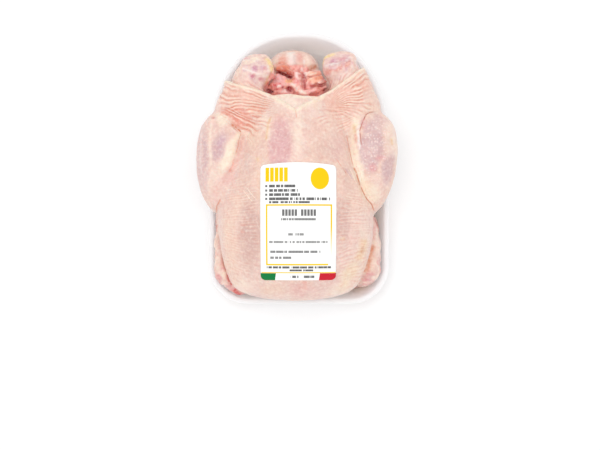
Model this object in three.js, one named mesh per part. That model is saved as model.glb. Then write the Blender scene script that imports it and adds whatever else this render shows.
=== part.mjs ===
// A whole raw chicken, breast up, on its white foam tray, with a sticker on its breast.
// Millimetres. Seen from above with the tail at the top, +X is to the right. +Y runs from the neck
// end to the tail, +Z is up. Everything is laid out from the middle of the tray, on the table, and
// at the end the whole is slid sideways until its box stands centred on the origin.
//
// The bird is one closed skin round a field: a function of (x, y, z) that is negative inside the
// flesh and roughly the distance to the skin outside it. Lumps and limbs are blended into that
// field, and a graded grid is wrapped round its zero level.
import * as THREE from 'three';

// ---- driving dimensions -------------------------------------------------------------------------

const TRAY_WIDTH = 159;
const TRAY_LENGTH = 240;
const TRAY_HEIGHT = 30;
const TRAY_FLOOR = 4;
const TRAY_CORNER = 34;          // radius of the two corners at the neck end
const TRAY_ARCH = 104.5;         // length of the arched tail end
const TRAY_ARCH_POWER = 2.25;    // 2 would be an ellipse, more is squarer
const WALL_FROM = 4.6;           // the inner wall's slope, as distances in from the outline
const WALL_TO = 15.4;
const TRAY_CLEARANCE = 0.5;      // between the bird and the foam

const LABEL_WIDTH = 63;
const LABEL_FROM_Y = -96.5;
const LABEL_TO_Y = 0;
const LABEL_CENTRE_X = -0.5;
const LABEL_CORNER = 4;
const LABEL_ARCH = 1.8;          // how far the middle of the top edge stands above its corners
const LABEL_THICKNESS = 0.5;
const LABEL_GAP = 0.45;
const LABEL_CELLS = [10, 15];

const SIDES = ['left', 'right'];

// How far each part's fillet reaches where it joins what was there before it.
const BLEND = {
	belly: 24, keel: 14, keelStations: 10, neckEnd: 14, rump: 12, tail: 6,
	thigh: 6, knee: 8, shank: 4, shankStations: 8, leg: 3.5, web: 6, webStations: 6,
	knob: 4, cut: 3, stump: 1.5, wingFore: 4, wingTip: 5, wing: 1.5,
	vent: 4, ventFold: 3, foam: 6,
};

// ---- the bird, as named lumps and limbs ---------------------------------------------------------
// A lump is a rounded block: centre, half sizes, squareness, and its turn and tip in degrees.
// A limb is a chain of [x, y, z, radius] stations.

const BREAST = { at: [-2.7, -46, 46], size: [67.6, 67.5, 54], power: 2.35 };
const BELLY = { at: [-1, 12, 45], size: [49, 60, 46], power: 2.2 };
const KEEL = [[-2, -72, 60, 33], [-2, -36, 72, 31], [-2, 4, 72, 27], [-1.5, 34, 64, 20]];
const NECK_END = { at: [-3.5, -84, 40], size: [56.5, 27.5, 29], power: 4 };
const RUMP = { at: [-3, 50, 26], size: [46, 34, 22], power: 2.3 };
const TAIL = { at: [-5, 86, 29], size: [22.5, 18, 16], power: 2.2, tip: 14 };
const VENT = { at: [-3, 67, 53], size: [25, 22, 20], power: 2.6 };

const LEG = {
	left: {
		muscle: { at: [-64, 4, 54], size: [24.7, 45, 23], power: 2.3, turn: 2 },
		thigh: { at: [-56, 4, 42], size: [28, 42, 26], turn: 2 },
		knee: { at: [-66, -27, 47], size: [11, 12.5, 14] },
		shank: [[-52, 38, 52, 21], [-46, 58, 54, 18.5], [-45, 66, 55, 16.5], [-43.5, 76, 56, 13.5]],
		hock: [[-40, 68, 53, 13.5], [-36.5, 84, 57, 12.8]],
		knob: { at: [-36, 84.5, 57], size: [13.8, 13.2, 12.8], power: 2.7, turn: 16, tip: 20 },
		cut: { at: [-36.2, 88, 64.5], normal: [0, 0.68, 0.73] },
	},
	right: {
		muscle: { at: [60, 4, 55], size: [24.7, 44, 23], power: 2.3, turn: -8 },
		thigh: { at: [54, 4, 42], size: [28, 42, 26], turn: -3 },
		knee: { at: [58, -28, 48], size: [12, 14, 15] },
		shank: [[50, 38, 53, 21], [45, 60, 55, 18.5], [43, 72, 56, 16], [42, 80, 57, 13.8]],
		hock: [[39, 70, 54, 14], [36.5, 86, 58, 13]],
		knob: { at: [35.8, 86.3, 58], size: [15, 13.2, 13.2], power: 2.7, turn: 4, tip: 18 },
		cut: { at: [35.8, 91, 65.5], normal: [-0.15, 0.68, 0.72] },
	},
};

const WING = {
	left: {
		upper: [[-49, -82, 40, 15], [-58.5, -50, 33, 12.5]],
		fore: [[-60, -52, 32, 11], [-63.5, -68, 33, 11.5], [-64, -88, 32, 12]],
		tip: [[-63, -92, 31, 12], [-53, -103, 26, 11]],
	},
	right: {
		upper: [[44, -82, 40, 15], [52, -48, 34, 13]],
		fore: [[57, -50, 30, 12], [60.5, -70, 29, 12.5], [59.5, -91, 27, 12.5]],
		tip: [[57, -93, 23, 12], [38, -92, 15, 9]],
	},
};

// Skin stretched from each leg to the end of the breast bone.
const WEBS = [
	[[-58, 51, 52, 14], [-42, 60, 58, 13], [-22, 57, 64, 8.5], [-3, 46, 70, 9]],
	[[56, 52, 52, 14], [40, 62, 60, 13], [20, 56, 65, 8.5], [-3, 46, 70, 9]],
];

// The thick edges where that skin was cut open, as ridges along paths on the plan. They rise out
// of the skin from this height, over this fade.
const EDGES_FROM_Z = 42;
const EDGES_FADE = 14;
const SKIN_EDGES = [
	{ path: [[-61, 74], [-54, 70.5], [-42.5, 67.5], [-32, 64.5], [-20.5, 59], [-9, 51.5], [-3, 48]],
		height: 2, width: 3.6 },
	{ path: [[-3, 48], [3, 51.5], [18, 60], [27, 65.5], [43, 76], [54, 84]], height: 2.4, width: 4 },
	{ path: [[-22, 61], [-7.7, 63], [1, 61.5], [18, 60.5]], height: 1.6, width: 3.4 },
];

// What shows in the vent: two masses of flesh with a fold standing between them, and the flesh
// that they lie on.
const VENT_FOLDS = [
	{ at: [-16, 67, 43], size: [13, 12, 10] },
	{ at: [-1, 69, 43], size: [5, 14, 11] },
	{ at: [13, 69, 42], size: [11, 13, 11] },
	{ at: [-2, 77, 37], size: [24, 12, 9.5] },
];

// ---- field maths --------------------------------------------------------------------------------

const DEGREES = Math.PI / 180;
const STATION_BLEND = 4;         // between the stations of a limb that names no other

// The offset from a lump's centre, in the lump's own turned and tipped axes.
function inLumpAxes(p, { at, turn = 0, tip = 0 }) {
	let [x, y, z] = [p[0] - at[0], p[1] - at[1], p[2] - at[2]];
	const [ct, st] = [Math.cos(turn * DEGREES), Math.sin(turn * DEGREES)];
	[x, y] = [x * ct + y * st, y * ct - x * st];
	const [cp, sp] = [Math.cos(tip * DEGREES), Math.sin(tip * DEGREES)];
	return [x, y * cp + z * sp, z * cp - y * sp];
}

// Superellipsoid: how far outside 1 the sum of (offset / size) ^ power is, over its own slope.
function lump(p, shape) {
	const { size, power = 2 } = shape;
	const ratios = inLumpAxes(p, shape).map((offset, i) => Math.abs(offset / size[i]));
	const total = ratios.reduce((sum, ratio) => sum + ratio ** power, 1e-12);
	const reach = total ** (1 / power);
	const slopes = ratios.map((ratio, i) => (ratio ** (power - 1) / size[i]) ** 2);
	const slope = Math.sqrt(slopes[0] + slopes[1] + slopes[2] + 1e-18) * reach ** (1 - power);
	return (reach - 1) / slope;
}

// Exact distance to the cone that two spheres span.
function roundCone(p, [ax, ay, az, ra], [bx, by, bz, rb]) {
	const [dx, dy, dz] = [bx - ax, by - ay, bz - az];
	const [px, py, pz] = [p[0] - ax, p[1] - ay, p[2] - az];
	const length2 = dx * dx + dy * dy + dz * dz;
	const taper = ra - rb;
	const slant2 = length2 - taper * taper;
	const along = px * dx + py * dy + pz * dz;
	const beyond = along - length2;
	const [vx, vy, vz] = [px * length2 - dx * along, py * length2 - dy * along, pz * length2 - dz * along];
	const off2 = vx * vx + vy * vy + vz * vz;
	const along2 = along * along * length2;
	const beyond2 = beyond * beyond * length2;
	const side = Math.sign(taper) * taper * taper * off2;
	if (Math.sign(beyond) * slant2 * beyond2 > side) return Math.sqrt(off2 + beyond2) / length2 - rb;
	if (Math.sign(along) * slant2 * along2 < side) return Math.sqrt(off2 + along2) / length2 - ra;
	return (Math.sqrt(off2 * slant2 / length2) + along * taper) / length2 - ra;
}

// Union with a fillet: the smaller of two distances, less a parabola where they are within k.
function join(a, b, k) {
	const near = Math.max(k - Math.abs(a - b), 0) / k;
	return Math.min(a, b) - near * near * k / 4;
}

function carve(body, tool, k) {
	return -join(-body, tool, k);
}

function limb(p, stations, k = STATION_BLEND) {
	let distance = roundCone(p, stations[0], stations[1]);
	for (let i = 2; i < stations.length; i++) {
		distance = join(distance, roundCone(p, stations[i - 1], stations[i]), k);
	}
	return distance;
}

// ---- the tray's outline -------------------------------------------------------------------------

const HALF_WIDTH = TRAY_WIDTH / 2;
const ARCH_START = TRAY_LENGTH / 2 - TRAY_ARCH;
const CORNER_X = HALF_WIDTH - TRAY_CORNER;
const CORNER_Y = -TRAY_LENGTH / 2 + TRAY_CORNER;

// The tray's section, from the middle of its underside round the rim to the floor: each station
// is how far it stands in from the outline, and its height.
const TRAY_SECTION = [
	[15, 0], [11.4, 1.6], [3.4, 25.4], [1, 27.6], [0, 28.2], [0, 29.3], [0.9, TRAY_HEIGHT],
	[3.6, TRAY_HEIGHT], [WALL_FROM, 29.2], [6.2, 25.6], [13.4, 7.9], [WALL_TO, 5], [19, TRAY_FLOOR],
];

// How many steps each stretch of half the outline takes.
const STEPS = { end: 3, corner: 7, side: 4, arch: 14 };

// Points round the outline, anticlockwise from above: half the neck end, a corner, a straight
// side, half the arch, and the same mirrored.
function trayOutline() {
	const half = [];
	for (let i = 0; i < STEPS.end; i++) half.push([CORNER_X * i / STEPS.end, -TRAY_LENGTH / 2]);
	for (let i = 0; i <= STEPS.corner; i++) {
		const a = -Math.PI / 2 * (1 - i / STEPS.corner);
		half.push([CORNER_X + TRAY_CORNER * Math.cos(a), CORNER_Y + TRAY_CORNER * Math.sin(a)]);
	}
	for (let i = 1; i <= STEPS.side; i++) {
		half.push([HALF_WIDTH, CORNER_Y + (ARCH_START - CORNER_Y) * i / STEPS.side]);
	}
	for (let i = 1; i <= STEPS.arch; i++) {
		const a = Math.PI / 2 * i / STEPS.arch;
		const x = HALF_WIDTH * Math.max(Math.cos(a), 0) ** (2 / TRAY_ARCH_POWER);
		const y = ARCH_START + TRAY_ARCH * Math.sin(a) ** (2 / TRAY_ARCH_POWER);
		half.push([x, y]);
	}
	const mirrored = half.slice(1, -1).reverse().map(([x, y]) => [-x, y]);
	return [...half, ...mirrored];
}

// How far a point stands in from the outline, roughly: negative outside it.
function insetAt(x, y) {
	if (y > ARCH_START) {
		const shape = { at: [0, ARCH_START, 0], size: [HALF_WIDTH, TRAY_ARCH, 1], power: TRAY_ARCH_POWER };
		return -lump([x, y, 0], shape);
	}
	const [dx, dy] = [Math.abs(x) - CORNER_X, CORNER_Y - y];
	const outside = Math.hypot(Math.max(dx, 0), Math.max(dy, 0)) + Math.min(Math.max(dx, dy), 0);
	return TRAY_CORNER - outside;
}

// Negative inside the foam, grown by the clearance: the floor's slab, and the wall under a
// slope that falls from the rim's inner edge to the floor's.
function foam([x, y, z]) {
	const inset = insetAt(x, y);
	const fall = (TRAY_HEIGHT - TRAY_FLOOR) / (WALL_TO - WALL_FROM);
	const wallTop = TRAY_HEIGHT - fall * Math.max(inset - WALL_FROM, 0);
	const wall = Math.max(-inset, (z - wallTop) / Math.hypot(1, fall));
	return Math.min(z - TRAY_FLOOR, wall) - TRAY_CLEARANCE;
}

// ---- the bird's field ---------------------------------------------------------------------------

function leg(p, { muscle, thigh, knee, shank }) {
	const hip = join(lump(p, muscle), lump(p, thigh), BLEND.thigh);
	return join(join(hip, lump(p, knee), BLEND.knee), limb(p, shank, BLEND.shankStations), BLEND.shank);
}

// The end of a leg, cut off slantwise through the hock.
function stump(p, { hock, knob, cut }) {
	const [nx, ny, nz] = cut.normal;
	const [dx, dy, dz] = [p[0] - cut.at[0], p[1] - cut.at[1], p[2] - cut.at[2]];
	const beyondCut = (dx * nx + dy * ny + dz * nz) / Math.hypot(nx, ny, nz);
	return carve(join(limb(p, hock), lump(p, knob), BLEND.knob), -beyondCut, BLEND.cut);
}

function wing(p, { upper, fore, tip }) {
	return join(join(limb(p, upper), limb(p, fore), BLEND.wingFore), limb(p, tip), BLEND.wingTip);
}

// Distance on the plan from a point to a path.
function planDistance([x, y], path) {
	let nearest = Infinity;
	for (let i = 1; i < path.length; i++) {
		const [[ax, ay], [bx, by]] = [path[i - 1], path[i]];
		const [dx, dy] = [bx - ax, by - ay];
		const share = ((x - ax) * dx + (y - ay) * dy) / (dx * dx + dy * dy);
		const t = THREE.MathUtils.clamp(share, 0, 1);
		nearest = Math.min(nearest, Math.hypot(x - ax - t * dx, y - ay - t * dy));
	}
	return nearest;
}

// How much the cut edges of the skin stand up at a point: a bell across each path, on the
// upper side of the bird only.
function edgeRelief(p) {
	const upper = THREE.MathUtils.clamp((p[2] - EDGES_FROM_Z) / EDGES_FADE, 0, 1);
	const bells = SKIN_EDGES.map(({ path, height, width }) => (
		height * Math.exp(-((planDistance(p, path) / width) ** 2))
	));
	return upper * Math.max(...bells);
}

function bird(p) {
	let skin = join(lump(p, BREAST), lump(p, BELLY), BLEND.belly);
	skin = join(skin, limb(p, KEEL, BLEND.keelStations), BLEND.keel);
	skin = join(skin, lump(p, NECK_END), BLEND.neckEnd);
	skin = join(skin, lump(p, RUMP), BLEND.rump);
	skin = join(skin, lump(p, TAIL), BLEND.tail);
	for (const side of SIDES) skin = join(skin, leg(p, LEG[side]), BLEND.leg);
	for (const web of WEBS) skin = join(skin, limb(p, web, BLEND.webStations), BLEND.web);
	skin = carve(skin, lump(p, VENT), BLEND.vent);
	for (const side of SIDES) {
		skin = join(skin, stump(p, LEG[side]), BLEND.stump);
		skin = join(skin, wing(p, WING[side]), BLEND.wing);
	}
	skin -= edgeRelief(p);
	for (const fold of VENT_FOLDS) skin = join(skin, lump(p, fold), BLEND.ventFold);
	return carve(skin, foam(p), BLEND.foam);
}

// ---- wrapping a grid round a field --------------------------------------------------------------

// Grid lines from one end to the other, with a spacing that may change on the way.
function gridLines(from, to, spacingAt) {
	const lines = [from];
	while (lines[lines.length - 1] < to) {
		const last = lines[lines.length - 1];
		lines.push(last + spacingAt(last));
	}
	return lines;
}

const SLOPE_STEP = 0.05;         // how far to either side a field's slope is measured
const NEWTON_ROUNDS = 2;

function gradient(field, p) {
	return [0, 1, 2].map((axis) => {
		const [ahead, behind] = [[...p], [...p]];
		ahead[axis] += SLOPE_STEP;
		behind[axis] -= SLOPE_STEP;
		return (field(ahead) - field(behind)) / (2 * SLOPE_STEP);
	});
}

// Moves a point straight onto the zero level by Newton steps, but not out of its grid cell.
function ontoSkin(field, start, lines, cell) {
	let p = start;
	for (let round = 0; round < NEWTON_ROUNDS; round++) {
		const slope = gradient(field, p);
		const steep = slope[0] ** 2 + slope[1] ** 2 + slope[2] ** 2 + 1e-6;
		const step = field(p) / steep;
		p = p.map((value, axis) => {
			const [low, high] = [lines[axis][cell[axis]], lines[axis][cell[axis] + 1]];
			return THREE.MathUtils.clamp(value - step * slope[axis], low, high);
		});
	}
	return p;
}

// One vertex in each grid cell that the zero level crosses, and a quad round each crossed edge.
function wrap(field, lines) {
	const counts = lines.map((list) => list.length);
	const pointAt = (i, j, k) => (i * counts[1] + j) * counts[2] + k;
	const values = new Float64Array(counts[0] * counts[1] * counts[2]);
	for (let i = 0; i < counts[0]; i++) {
		for (let j = 0; j < counts[1]; j++) {
			for (let k = 0; k < counts[2]; k++) {
				values[pointAt(i, j, k)] = field([lines[0][i], lines[1][j], lines[2][k]]);
			}
		}
	}
	fillTightPlaces(values, counts, pointAt);
	fillSealedPockets(values, counts, pointAt);

	const vertices = [];
	const vertexOf = new Map();
	const vertexIn = (cell) => {
		const key = pointAt(...cell);
		if (!vertexOf.has(key)) {
			vertexOf.set(key, vertices.length);
			vertices.push(ontoSkin(field, cellVertex(values, lines, pointAt, cell), lines, cell));
		}
		return vertexOf.get(key);
	};
	const faces = [];
	for (let axis = 0; axis < 3; axis++) {
		const [u, v] = [(axis + 1) % 3, (axis + 2) % 3];
		const at = [0, 0, 0];
		for (at[axis] = 0; at[axis] < counts[axis] - 1; at[axis]++) {
			for (at[u] = 1; at[u] < counts[u] - 1; at[u]++) {
				for (at[v] = 1; at[v] < counts[v] - 1; at[v]++) {
					const next = [...at];
					next[axis]++;
					const [here, there] = [values[pointAt(...at)], values[pointAt(...next)]];
					if ((here < 0) === (there < 0)) continue;
					const quad = [[-1, -1], [0, -1], [0, 0], [-1, 0]].map(([du, dv]) => {
						const cell = [...at];
						cell[u] += du;
						cell[v] += dv;
						return vertexIn(cell);
					});
					if (there < 0) quad.reverse();
					faces.push(quad);
				}
			}
		}
	}
	return meshFromQuads(vertices, faces);
}

// The mean of the places where the zero level crosses a cell's edges.
function cellVertex(values, lines, pointAt, cell) {
	const total = [0, 0, 0];
	let crossings = 0;
	for (let axis = 0; axis < 3; axis++) {
		const [u, v] = [(axis + 1) % 3, (axis + 2) % 3];
		for (const [du, dv] of [[0, 0], [1, 0], [0, 1], [1, 1]]) {
			const start = [...cell];
			start[u] += du;
			start[v] += dv;
			const end = [...start];
			end[axis]++;
			const [a, b] = [values[pointAt(...start)], values[pointAt(...end)]];
			if ((a < 0) === (b < 0)) continue;
			const share = a / (a - b);
			for (let i = 0; i < 3; i++) {
				total[i] += THREE.MathUtils.lerp(lines[i][start[i]], lines[i][end[i]], share);
			}
			crossings++;
		}
	}
	return total.map((value) => value / crossings);
}

const FILLED = -0.05;

// Where flesh meets flesh only across a corner of the grid, the slit between is filled, so that
// every edge of the wrapped mesh joins exactly two faces.
function fillTightPlaces(values, counts, pointAt) {
	const fillDiagonal = (a, b, c, d) => {
		const [ia, ib, ic, id] = [a, b, c, d].map((index) => values[index] < 0);
		if (ia !== id || ib !== ic || ia === ib) return false;
		values[ia ? b : a] = FILLED;
		return true;
	};
	let changed = true;
	while (changed) {
		changed = false;
		for (let i = 0; i < counts[0] - 1; i++) {
			for (let j = 0; j < counts[1] - 1; j++) {
				for (let k = 0; k < counts[2] - 1; k++) {
					const at = (di, dj, dk) => pointAt(i + di, j + dj, k + dk);
					const here = at(0, 0, 0);
					const filled = [
						fillDiagonal(here, at(1, 0, 0), at(0, 1, 0), at(1, 1, 0)),
						fillDiagonal(here, at(0, 1, 0), at(0, 0, 1), at(0, 1, 1)),
						fillDiagonal(here, at(1, 0, 0), at(0, 0, 1), at(1, 0, 1)),
					];
					if (filled.includes(true)) changed = true;
				}
			}
		}
	}
}

// Fills what the open air round the flesh can't reach from the grid's first corner.
function fillSealedPockets(values, counts, pointAt) {
	const reached = new Set([0]);
	const queue = [[0, 0, 0]];
	while (queue.length > 0) {
		const cell = queue.pop();
		for (let axis = 0; axis < 3; axis++) {
			for (const step of [-1, 1]) {
				const next = [...cell];
				next[axis] += step;
				if (next[axis] < 0 || next[axis] >= counts[axis]) continue;
				const index = pointAt(...next);
				if (values[index] < 0 || reached.has(index)) continue;
				reached.add(index);
				queue.push(next);
			}
		}
	}
	values.forEach((value, index) => {
		if (value >= 0 && !reached.has(index)) values[index] = FILLED;
	});
}

// Splits each quad along its shorter diagonal.
function meshFromQuads(vertices, quads) {
	const distance = (a, b) => Math.hypot(...vertices[a].map((value, i) => value - vertices[b][i]));
	const triangles = quads.flatMap(([a, b, c, d]) => {
		if (distance(a, c) <= distance(b, d)) return [a, b, c, a, c, d];
		return [b, c, d, b, d, a];
	});
	return indexedGeometry(vertices, triangles);
}

function indexedGeometry(vertices, triangles) {
	const geometry = new THREE.BufferGeometry();
	geometry.setAttribute('position', new THREE.Float32BufferAttribute(vertices.flat(), 3));
	geometry.setIndex(triangles);
	geometry.computeVertexNormals();
	return geometry;
}

// ---- chicken ------------------------------------------------------------------------------------

// The grid's spacing, and its reach, a little beyond the bird. Lines across the bird lie closer
// together towards the tail, where the cut ends and the vent are.
const SPACING_X = 4.9;
const SPACING_Z = 4.6;
const SPACING_Y = 5.8;
const SPACING_Y_AT_TAIL = 3.6;
const TAIL_FROM_Y = 36;
const GRID_X = [-95, 95];
const GRID_Y = [-122, 112];
const GRID_Z = [-1, 110];

function chickenGeometry() {
	const lines = [
		gridLines(...GRID_X, () => SPACING_X),
		gridLines(...GRID_Y, (y) => (y < TAIL_FROM_Y ? SPACING_Y : SPACING_Y_AT_TAIL)),
		gridLines(...GRID_Z, () => SPACING_Z),
	];
	return wrap(bird, lines);
}

// ---- tray ---------------------------------------------------------------------------------------

function trayGeometry() {
	const outline = trayOutline();
	const count = outline.length;
	const inward = outline.map((point, i) => {
		const [before, after] = [outline[(i + count - 1) % count], outline[(i + 1) % count]];
		const [dx, dy] = [after[0] - before[0], after[1] - before[1]];
		const length = Math.hypot(dx, dy);
		return [-dy / length, dx / length];
	});
	const vertices = [];
	for (const [inset, height] of TRAY_SECTION) {
		outline.forEach(([x, y], i) => {
			vertices.push([x + inset * inward[i][0], y + inset * inward[i][1], height]);
		});
	}
	const underside = vertices.push([0, 0, 0]) - 1;
	const floor = vertices.push([0, 0, TRAY_FLOOR]) - 1;
	const lastRing = (TRAY_SECTION.length - 1) * count;
	const triangles = [];
	for (let i = 0; i < count; i++) {
		const next = (i + 1) % count;
		for (let ring = 0; ring < lastRing; ring += count) {
			const [a, b] = [ring + i, ring + next];
			triangles.push(a, b, b + count, a, b + count, a + count);
		}
		triangles.push(underside, next, i);
		triangles.push(floor, lastRing + i, lastRing + next);
	}
	return indexedGeometry(vertices, triangles);
}

// ---- label --------------------------------------------------------------------------------------

const SEARCH_STEP = 4;
const HALVINGS = 14;

// The skin's height above a place on the plan: down in steps to the flesh, then by halving.
function skinHeight(x, y) {
	let high = GRID_Z[1];
	while (bird([x, y, high]) > 0) high -= SEARCH_STEP;
	let low = high;
	high += SEARCH_STEP;
	for (let round = 0; round < HALVINGS; round++) {
		const middle = (low + high) / 2;
		if (bird([x, y, middle]) > 0) high = middle;
		else low = middle;
	}
	return low;
}

// A thin sheet with rounded corners, laid on the breast a little clear of the skin.
function labelGeometry() {
	const [across, along] = LABEL_CELLS;
	const length = LABEL_TO_Y - LABEL_FROM_Y;
	const lower = [];
	const upper = [];
	for (let row = 0; row <= along; row++) {
		const v = (1 - Math.cos(Math.PI * row / along)) / 2;
		const fromEnd = Math.min(v, 1 - v) * length;
		const cornerDrop = Math.max(LABEL_CORNER - fromEnd, 0);
		const halfWidth = LABEL_WIDTH / 2 - LABEL_CORNER
			+ Math.sqrt(LABEL_CORNER ** 2 - cornerDrop ** 2);
		for (let column = 0; column <= across; column++) {
			const u = 2 * column / across - 1;
			const x = LABEL_CENTRE_X + u * halfWidth;
			const y = LABEL_FROM_Y + v * length + v * LABEL_ARCH * (1 - u * u);
			const base = [x, y, skinHeight(x, y)];
			const slope = gradient(bird, base);
			const steep = Math.hypot(...slope);
			const raised = (gap) => base.map((value, axis) => value + gap * slope[axis] / steep);
			lower.push(raised(LABEL_GAP));
			upper.push(raised(LABEL_GAP + LABEL_THICKNESS));
		}
	}
	const stride = across + 1;
	const top = lower.length;
	const triangles = [];
	for (let row = 0; row < along; row++) {
		for (let column = 0; column < across; column++) {
			const a = row * stride + column;
			const [b, c, d] = [a + 1, a + stride + 1, a + stride];
			triangles.push(a, c, b, a, d, c);
			triangles.push(top + a, top + b, top + c, top + a, top + c, top + d);
		}
	}
	const rim = [];
	for (let column = 0; column < across; column++) rim.push(column);
	for (let row = 0; row < along; row++) rim.push(row * stride + across);
	for (let column = across; column > 0; column--) rim.push(along * stride + column);
	for (let row = along; row > 0; row--) rim.push(row * stride);
	rim.forEach((a, i) => {
		const b = rim[(i + 1) % rim.length];
		triangles.push(a, b, top + b, a, top + b, top + a);
	});
	return indexedGeometry([...lower, ...upper], triangles);
}

// ---- scene graph --------------------------------------------------------------------------------

function piece(name, geometry, color, roughness) {
	const mesh = new THREE.Mesh(geometry, new THREE.MeshStandardMaterial({ color, roughness, metalness: 0 }));
	mesh.name = name;
	return mesh;
}

const model = new THREE.Group();
model.add(piece('chicken', chickenGeometry(), 0xf0cfc0, 0.45));
model.add(piece('tray', trayGeometry(), 0xf3f1ef, 0.7));
model.add(piece('label', labelGeometry(), 0xfcfcfa, 0.4));

const middle = new THREE.Box3().setFromObject(model).getCenter(new THREE.Vector3());
model.position.x = -middle.x;

export default model;
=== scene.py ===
"""A whole raw chicken lying breast up on its white foam tray, with a sticker on its breast.

The bird's form is a field, a function of (x, y, z) in millimetres that is negative inside the
flesh. A fine grid is wrapped round its zero level, and folds, wrinkles and colours are worked out
at each vertex. Meshes are in metres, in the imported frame's own axes.
"""

import bpy
import numpy as np
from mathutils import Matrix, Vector


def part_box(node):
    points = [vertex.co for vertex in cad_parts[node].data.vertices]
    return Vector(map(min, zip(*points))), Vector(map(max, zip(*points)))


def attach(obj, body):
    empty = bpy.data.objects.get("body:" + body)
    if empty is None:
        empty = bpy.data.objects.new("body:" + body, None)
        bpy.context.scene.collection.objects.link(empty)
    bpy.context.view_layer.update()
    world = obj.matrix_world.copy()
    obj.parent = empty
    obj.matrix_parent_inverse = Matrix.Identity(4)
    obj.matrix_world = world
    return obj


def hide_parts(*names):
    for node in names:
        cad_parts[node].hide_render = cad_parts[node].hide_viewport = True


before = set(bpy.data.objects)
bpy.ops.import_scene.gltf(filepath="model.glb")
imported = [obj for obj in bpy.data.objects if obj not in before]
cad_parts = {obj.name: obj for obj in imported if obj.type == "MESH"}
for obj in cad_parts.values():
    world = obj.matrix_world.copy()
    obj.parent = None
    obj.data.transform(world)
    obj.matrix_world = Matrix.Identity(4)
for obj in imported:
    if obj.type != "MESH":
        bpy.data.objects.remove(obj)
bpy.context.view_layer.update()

MM = 0.001
TRAY_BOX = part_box("tray")
MIDDLE_X = float(TRAY_BOX[0][0] + TRAY_BOX[1][0]) / 2      # everything is laid out from the tray's middle

# ---- camera, light and table ---------------------------------------------------------------------

CAMERA_X = 0.0009
CAMERA_Y = -0.0504
CAMERA_HEIGHT = 1.3
FRAME_WIDTH = 0.543          # what the frame spans on the table
SENSOR = 36.0
WORLD_STRENGTH = 0.92
SOFTBOX_AT = (-0.12, 0.12, 1.5)
SOFTBOX_SIZE = 0.9
SOFTBOX_POWER = 5.2
LIGHT_AIM = (0, -0.02, 0.04)
TABLE_REACH = 4.0
TABLE_WHITE = (0.96, 0.96, 0.96, 1)


def make_camera():
    """Straight above the tray, with a lens that fits the frame's width on the table."""
    data = bpy.data.cameras.new("camera")
    data.sensor_width = SENSOR
    data.lens = SENSOR * CAMERA_HEIGHT / FRAME_WIDTH
    camera = bpy.data.objects.new("camera", data)
    camera.location = (MIDDLE_X + CAMERA_X, CAMERA_Y, CAMERA_HEIGHT)
    bpy.context.scene.collection.objects.link(camera)
    bpy.context.scene.camera = camera


def make_light(name, at, size, power):
    """A round area light that points at the bird's middle."""
    data = bpy.data.lights.new(name, "AREA")
    data.shape = "DISK"
    data.size = size
    data.energy = power
    light = bpy.data.objects.new(name, data)
    light.location = at
    aim = Vector(LIGHT_AIM) - light.location
    light.rotation_euler = aim.to_track_quat("-Z", "Y").to_euler()
    bpy.context.scene.collection.objects.link(light)


def make_stage():
    """A white room, one softbox and a pale table."""
    world = bpy.data.worlds.new("white room")
    world.use_nodes = True
    background = world.node_tree.nodes["Background"]
    background.inputs["Color"].default_value = (1, 1, 1, 1)
    background.inputs["Strength"].default_value = WORLD_STRENGTH
    bpy.context.scene.world = world
    make_light("softbox", SOFTBOX_AT, SOFTBOX_SIZE, SOFTBOX_POWER)
    bpy.context.scene.view_settings.view_transform = "Standard"

    mesh = bpy.data.meshes.new("table")
    corners = [(TABLE_REACH * x, TABLE_REACH * y, 0) for x, y in ((-1, -1), (1, -1), (1, 1), (-1, 1))]
    mesh.from_pydata(corners, [], [(0, 1, 2, 3)])
    table = bpy.data.objects.new("table", mesh)
    bpy.context.scene.collection.objects.link(table)
    white = Recipe("table white", roughness=0.8)
    white.set("Base Color", TABLE_WHITE)
    mesh.materials.append(white.material)


# ---- materials as expressions --------------------------------------------------------------------

def sign(operation, swapped=False):
    """The method behind an arithmetic sign: it adds one Math node."""
    def method(self, other):
        pair = (other, self) if swapped else (self, other)
        return self.maths(operation, *pair)
    return method


class Value:
    """A socket of a material. Sums and products of values add the Math nodes that they need."""

    def __init__(self, recipe, socket):
        self.recipe = recipe
        self.socket = socket

    def maths(self, operation, *values):
        return self.recipe.node("ShaderNodeMath", {"operation": operation}, dict(enumerate(values)))

    __add__ = sign("ADD")
    __radd__ = sign("ADD", swapped=True)
    __sub__ = sign("SUBTRACT")
    __rsub__ = sign("SUBTRACT", swapped=True)
    __mul__ = sign("MULTIPLY")
    __rmul__ = sign("MULTIPLY", swapped=True)
    __truediv__ = sign("DIVIDE")
    __gt__ = sign("GREATER_THAN")
    __lt__ = sign("LESS_THAN")

    def sine(self):
        return self.maths("SINE", self)

    def absolute(self):
        return self.maths("ABSOLUTE", self)

    def clamped(self):
        return self.recipe.node("ShaderNodeClamp", {}, {"Value": self})


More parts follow.
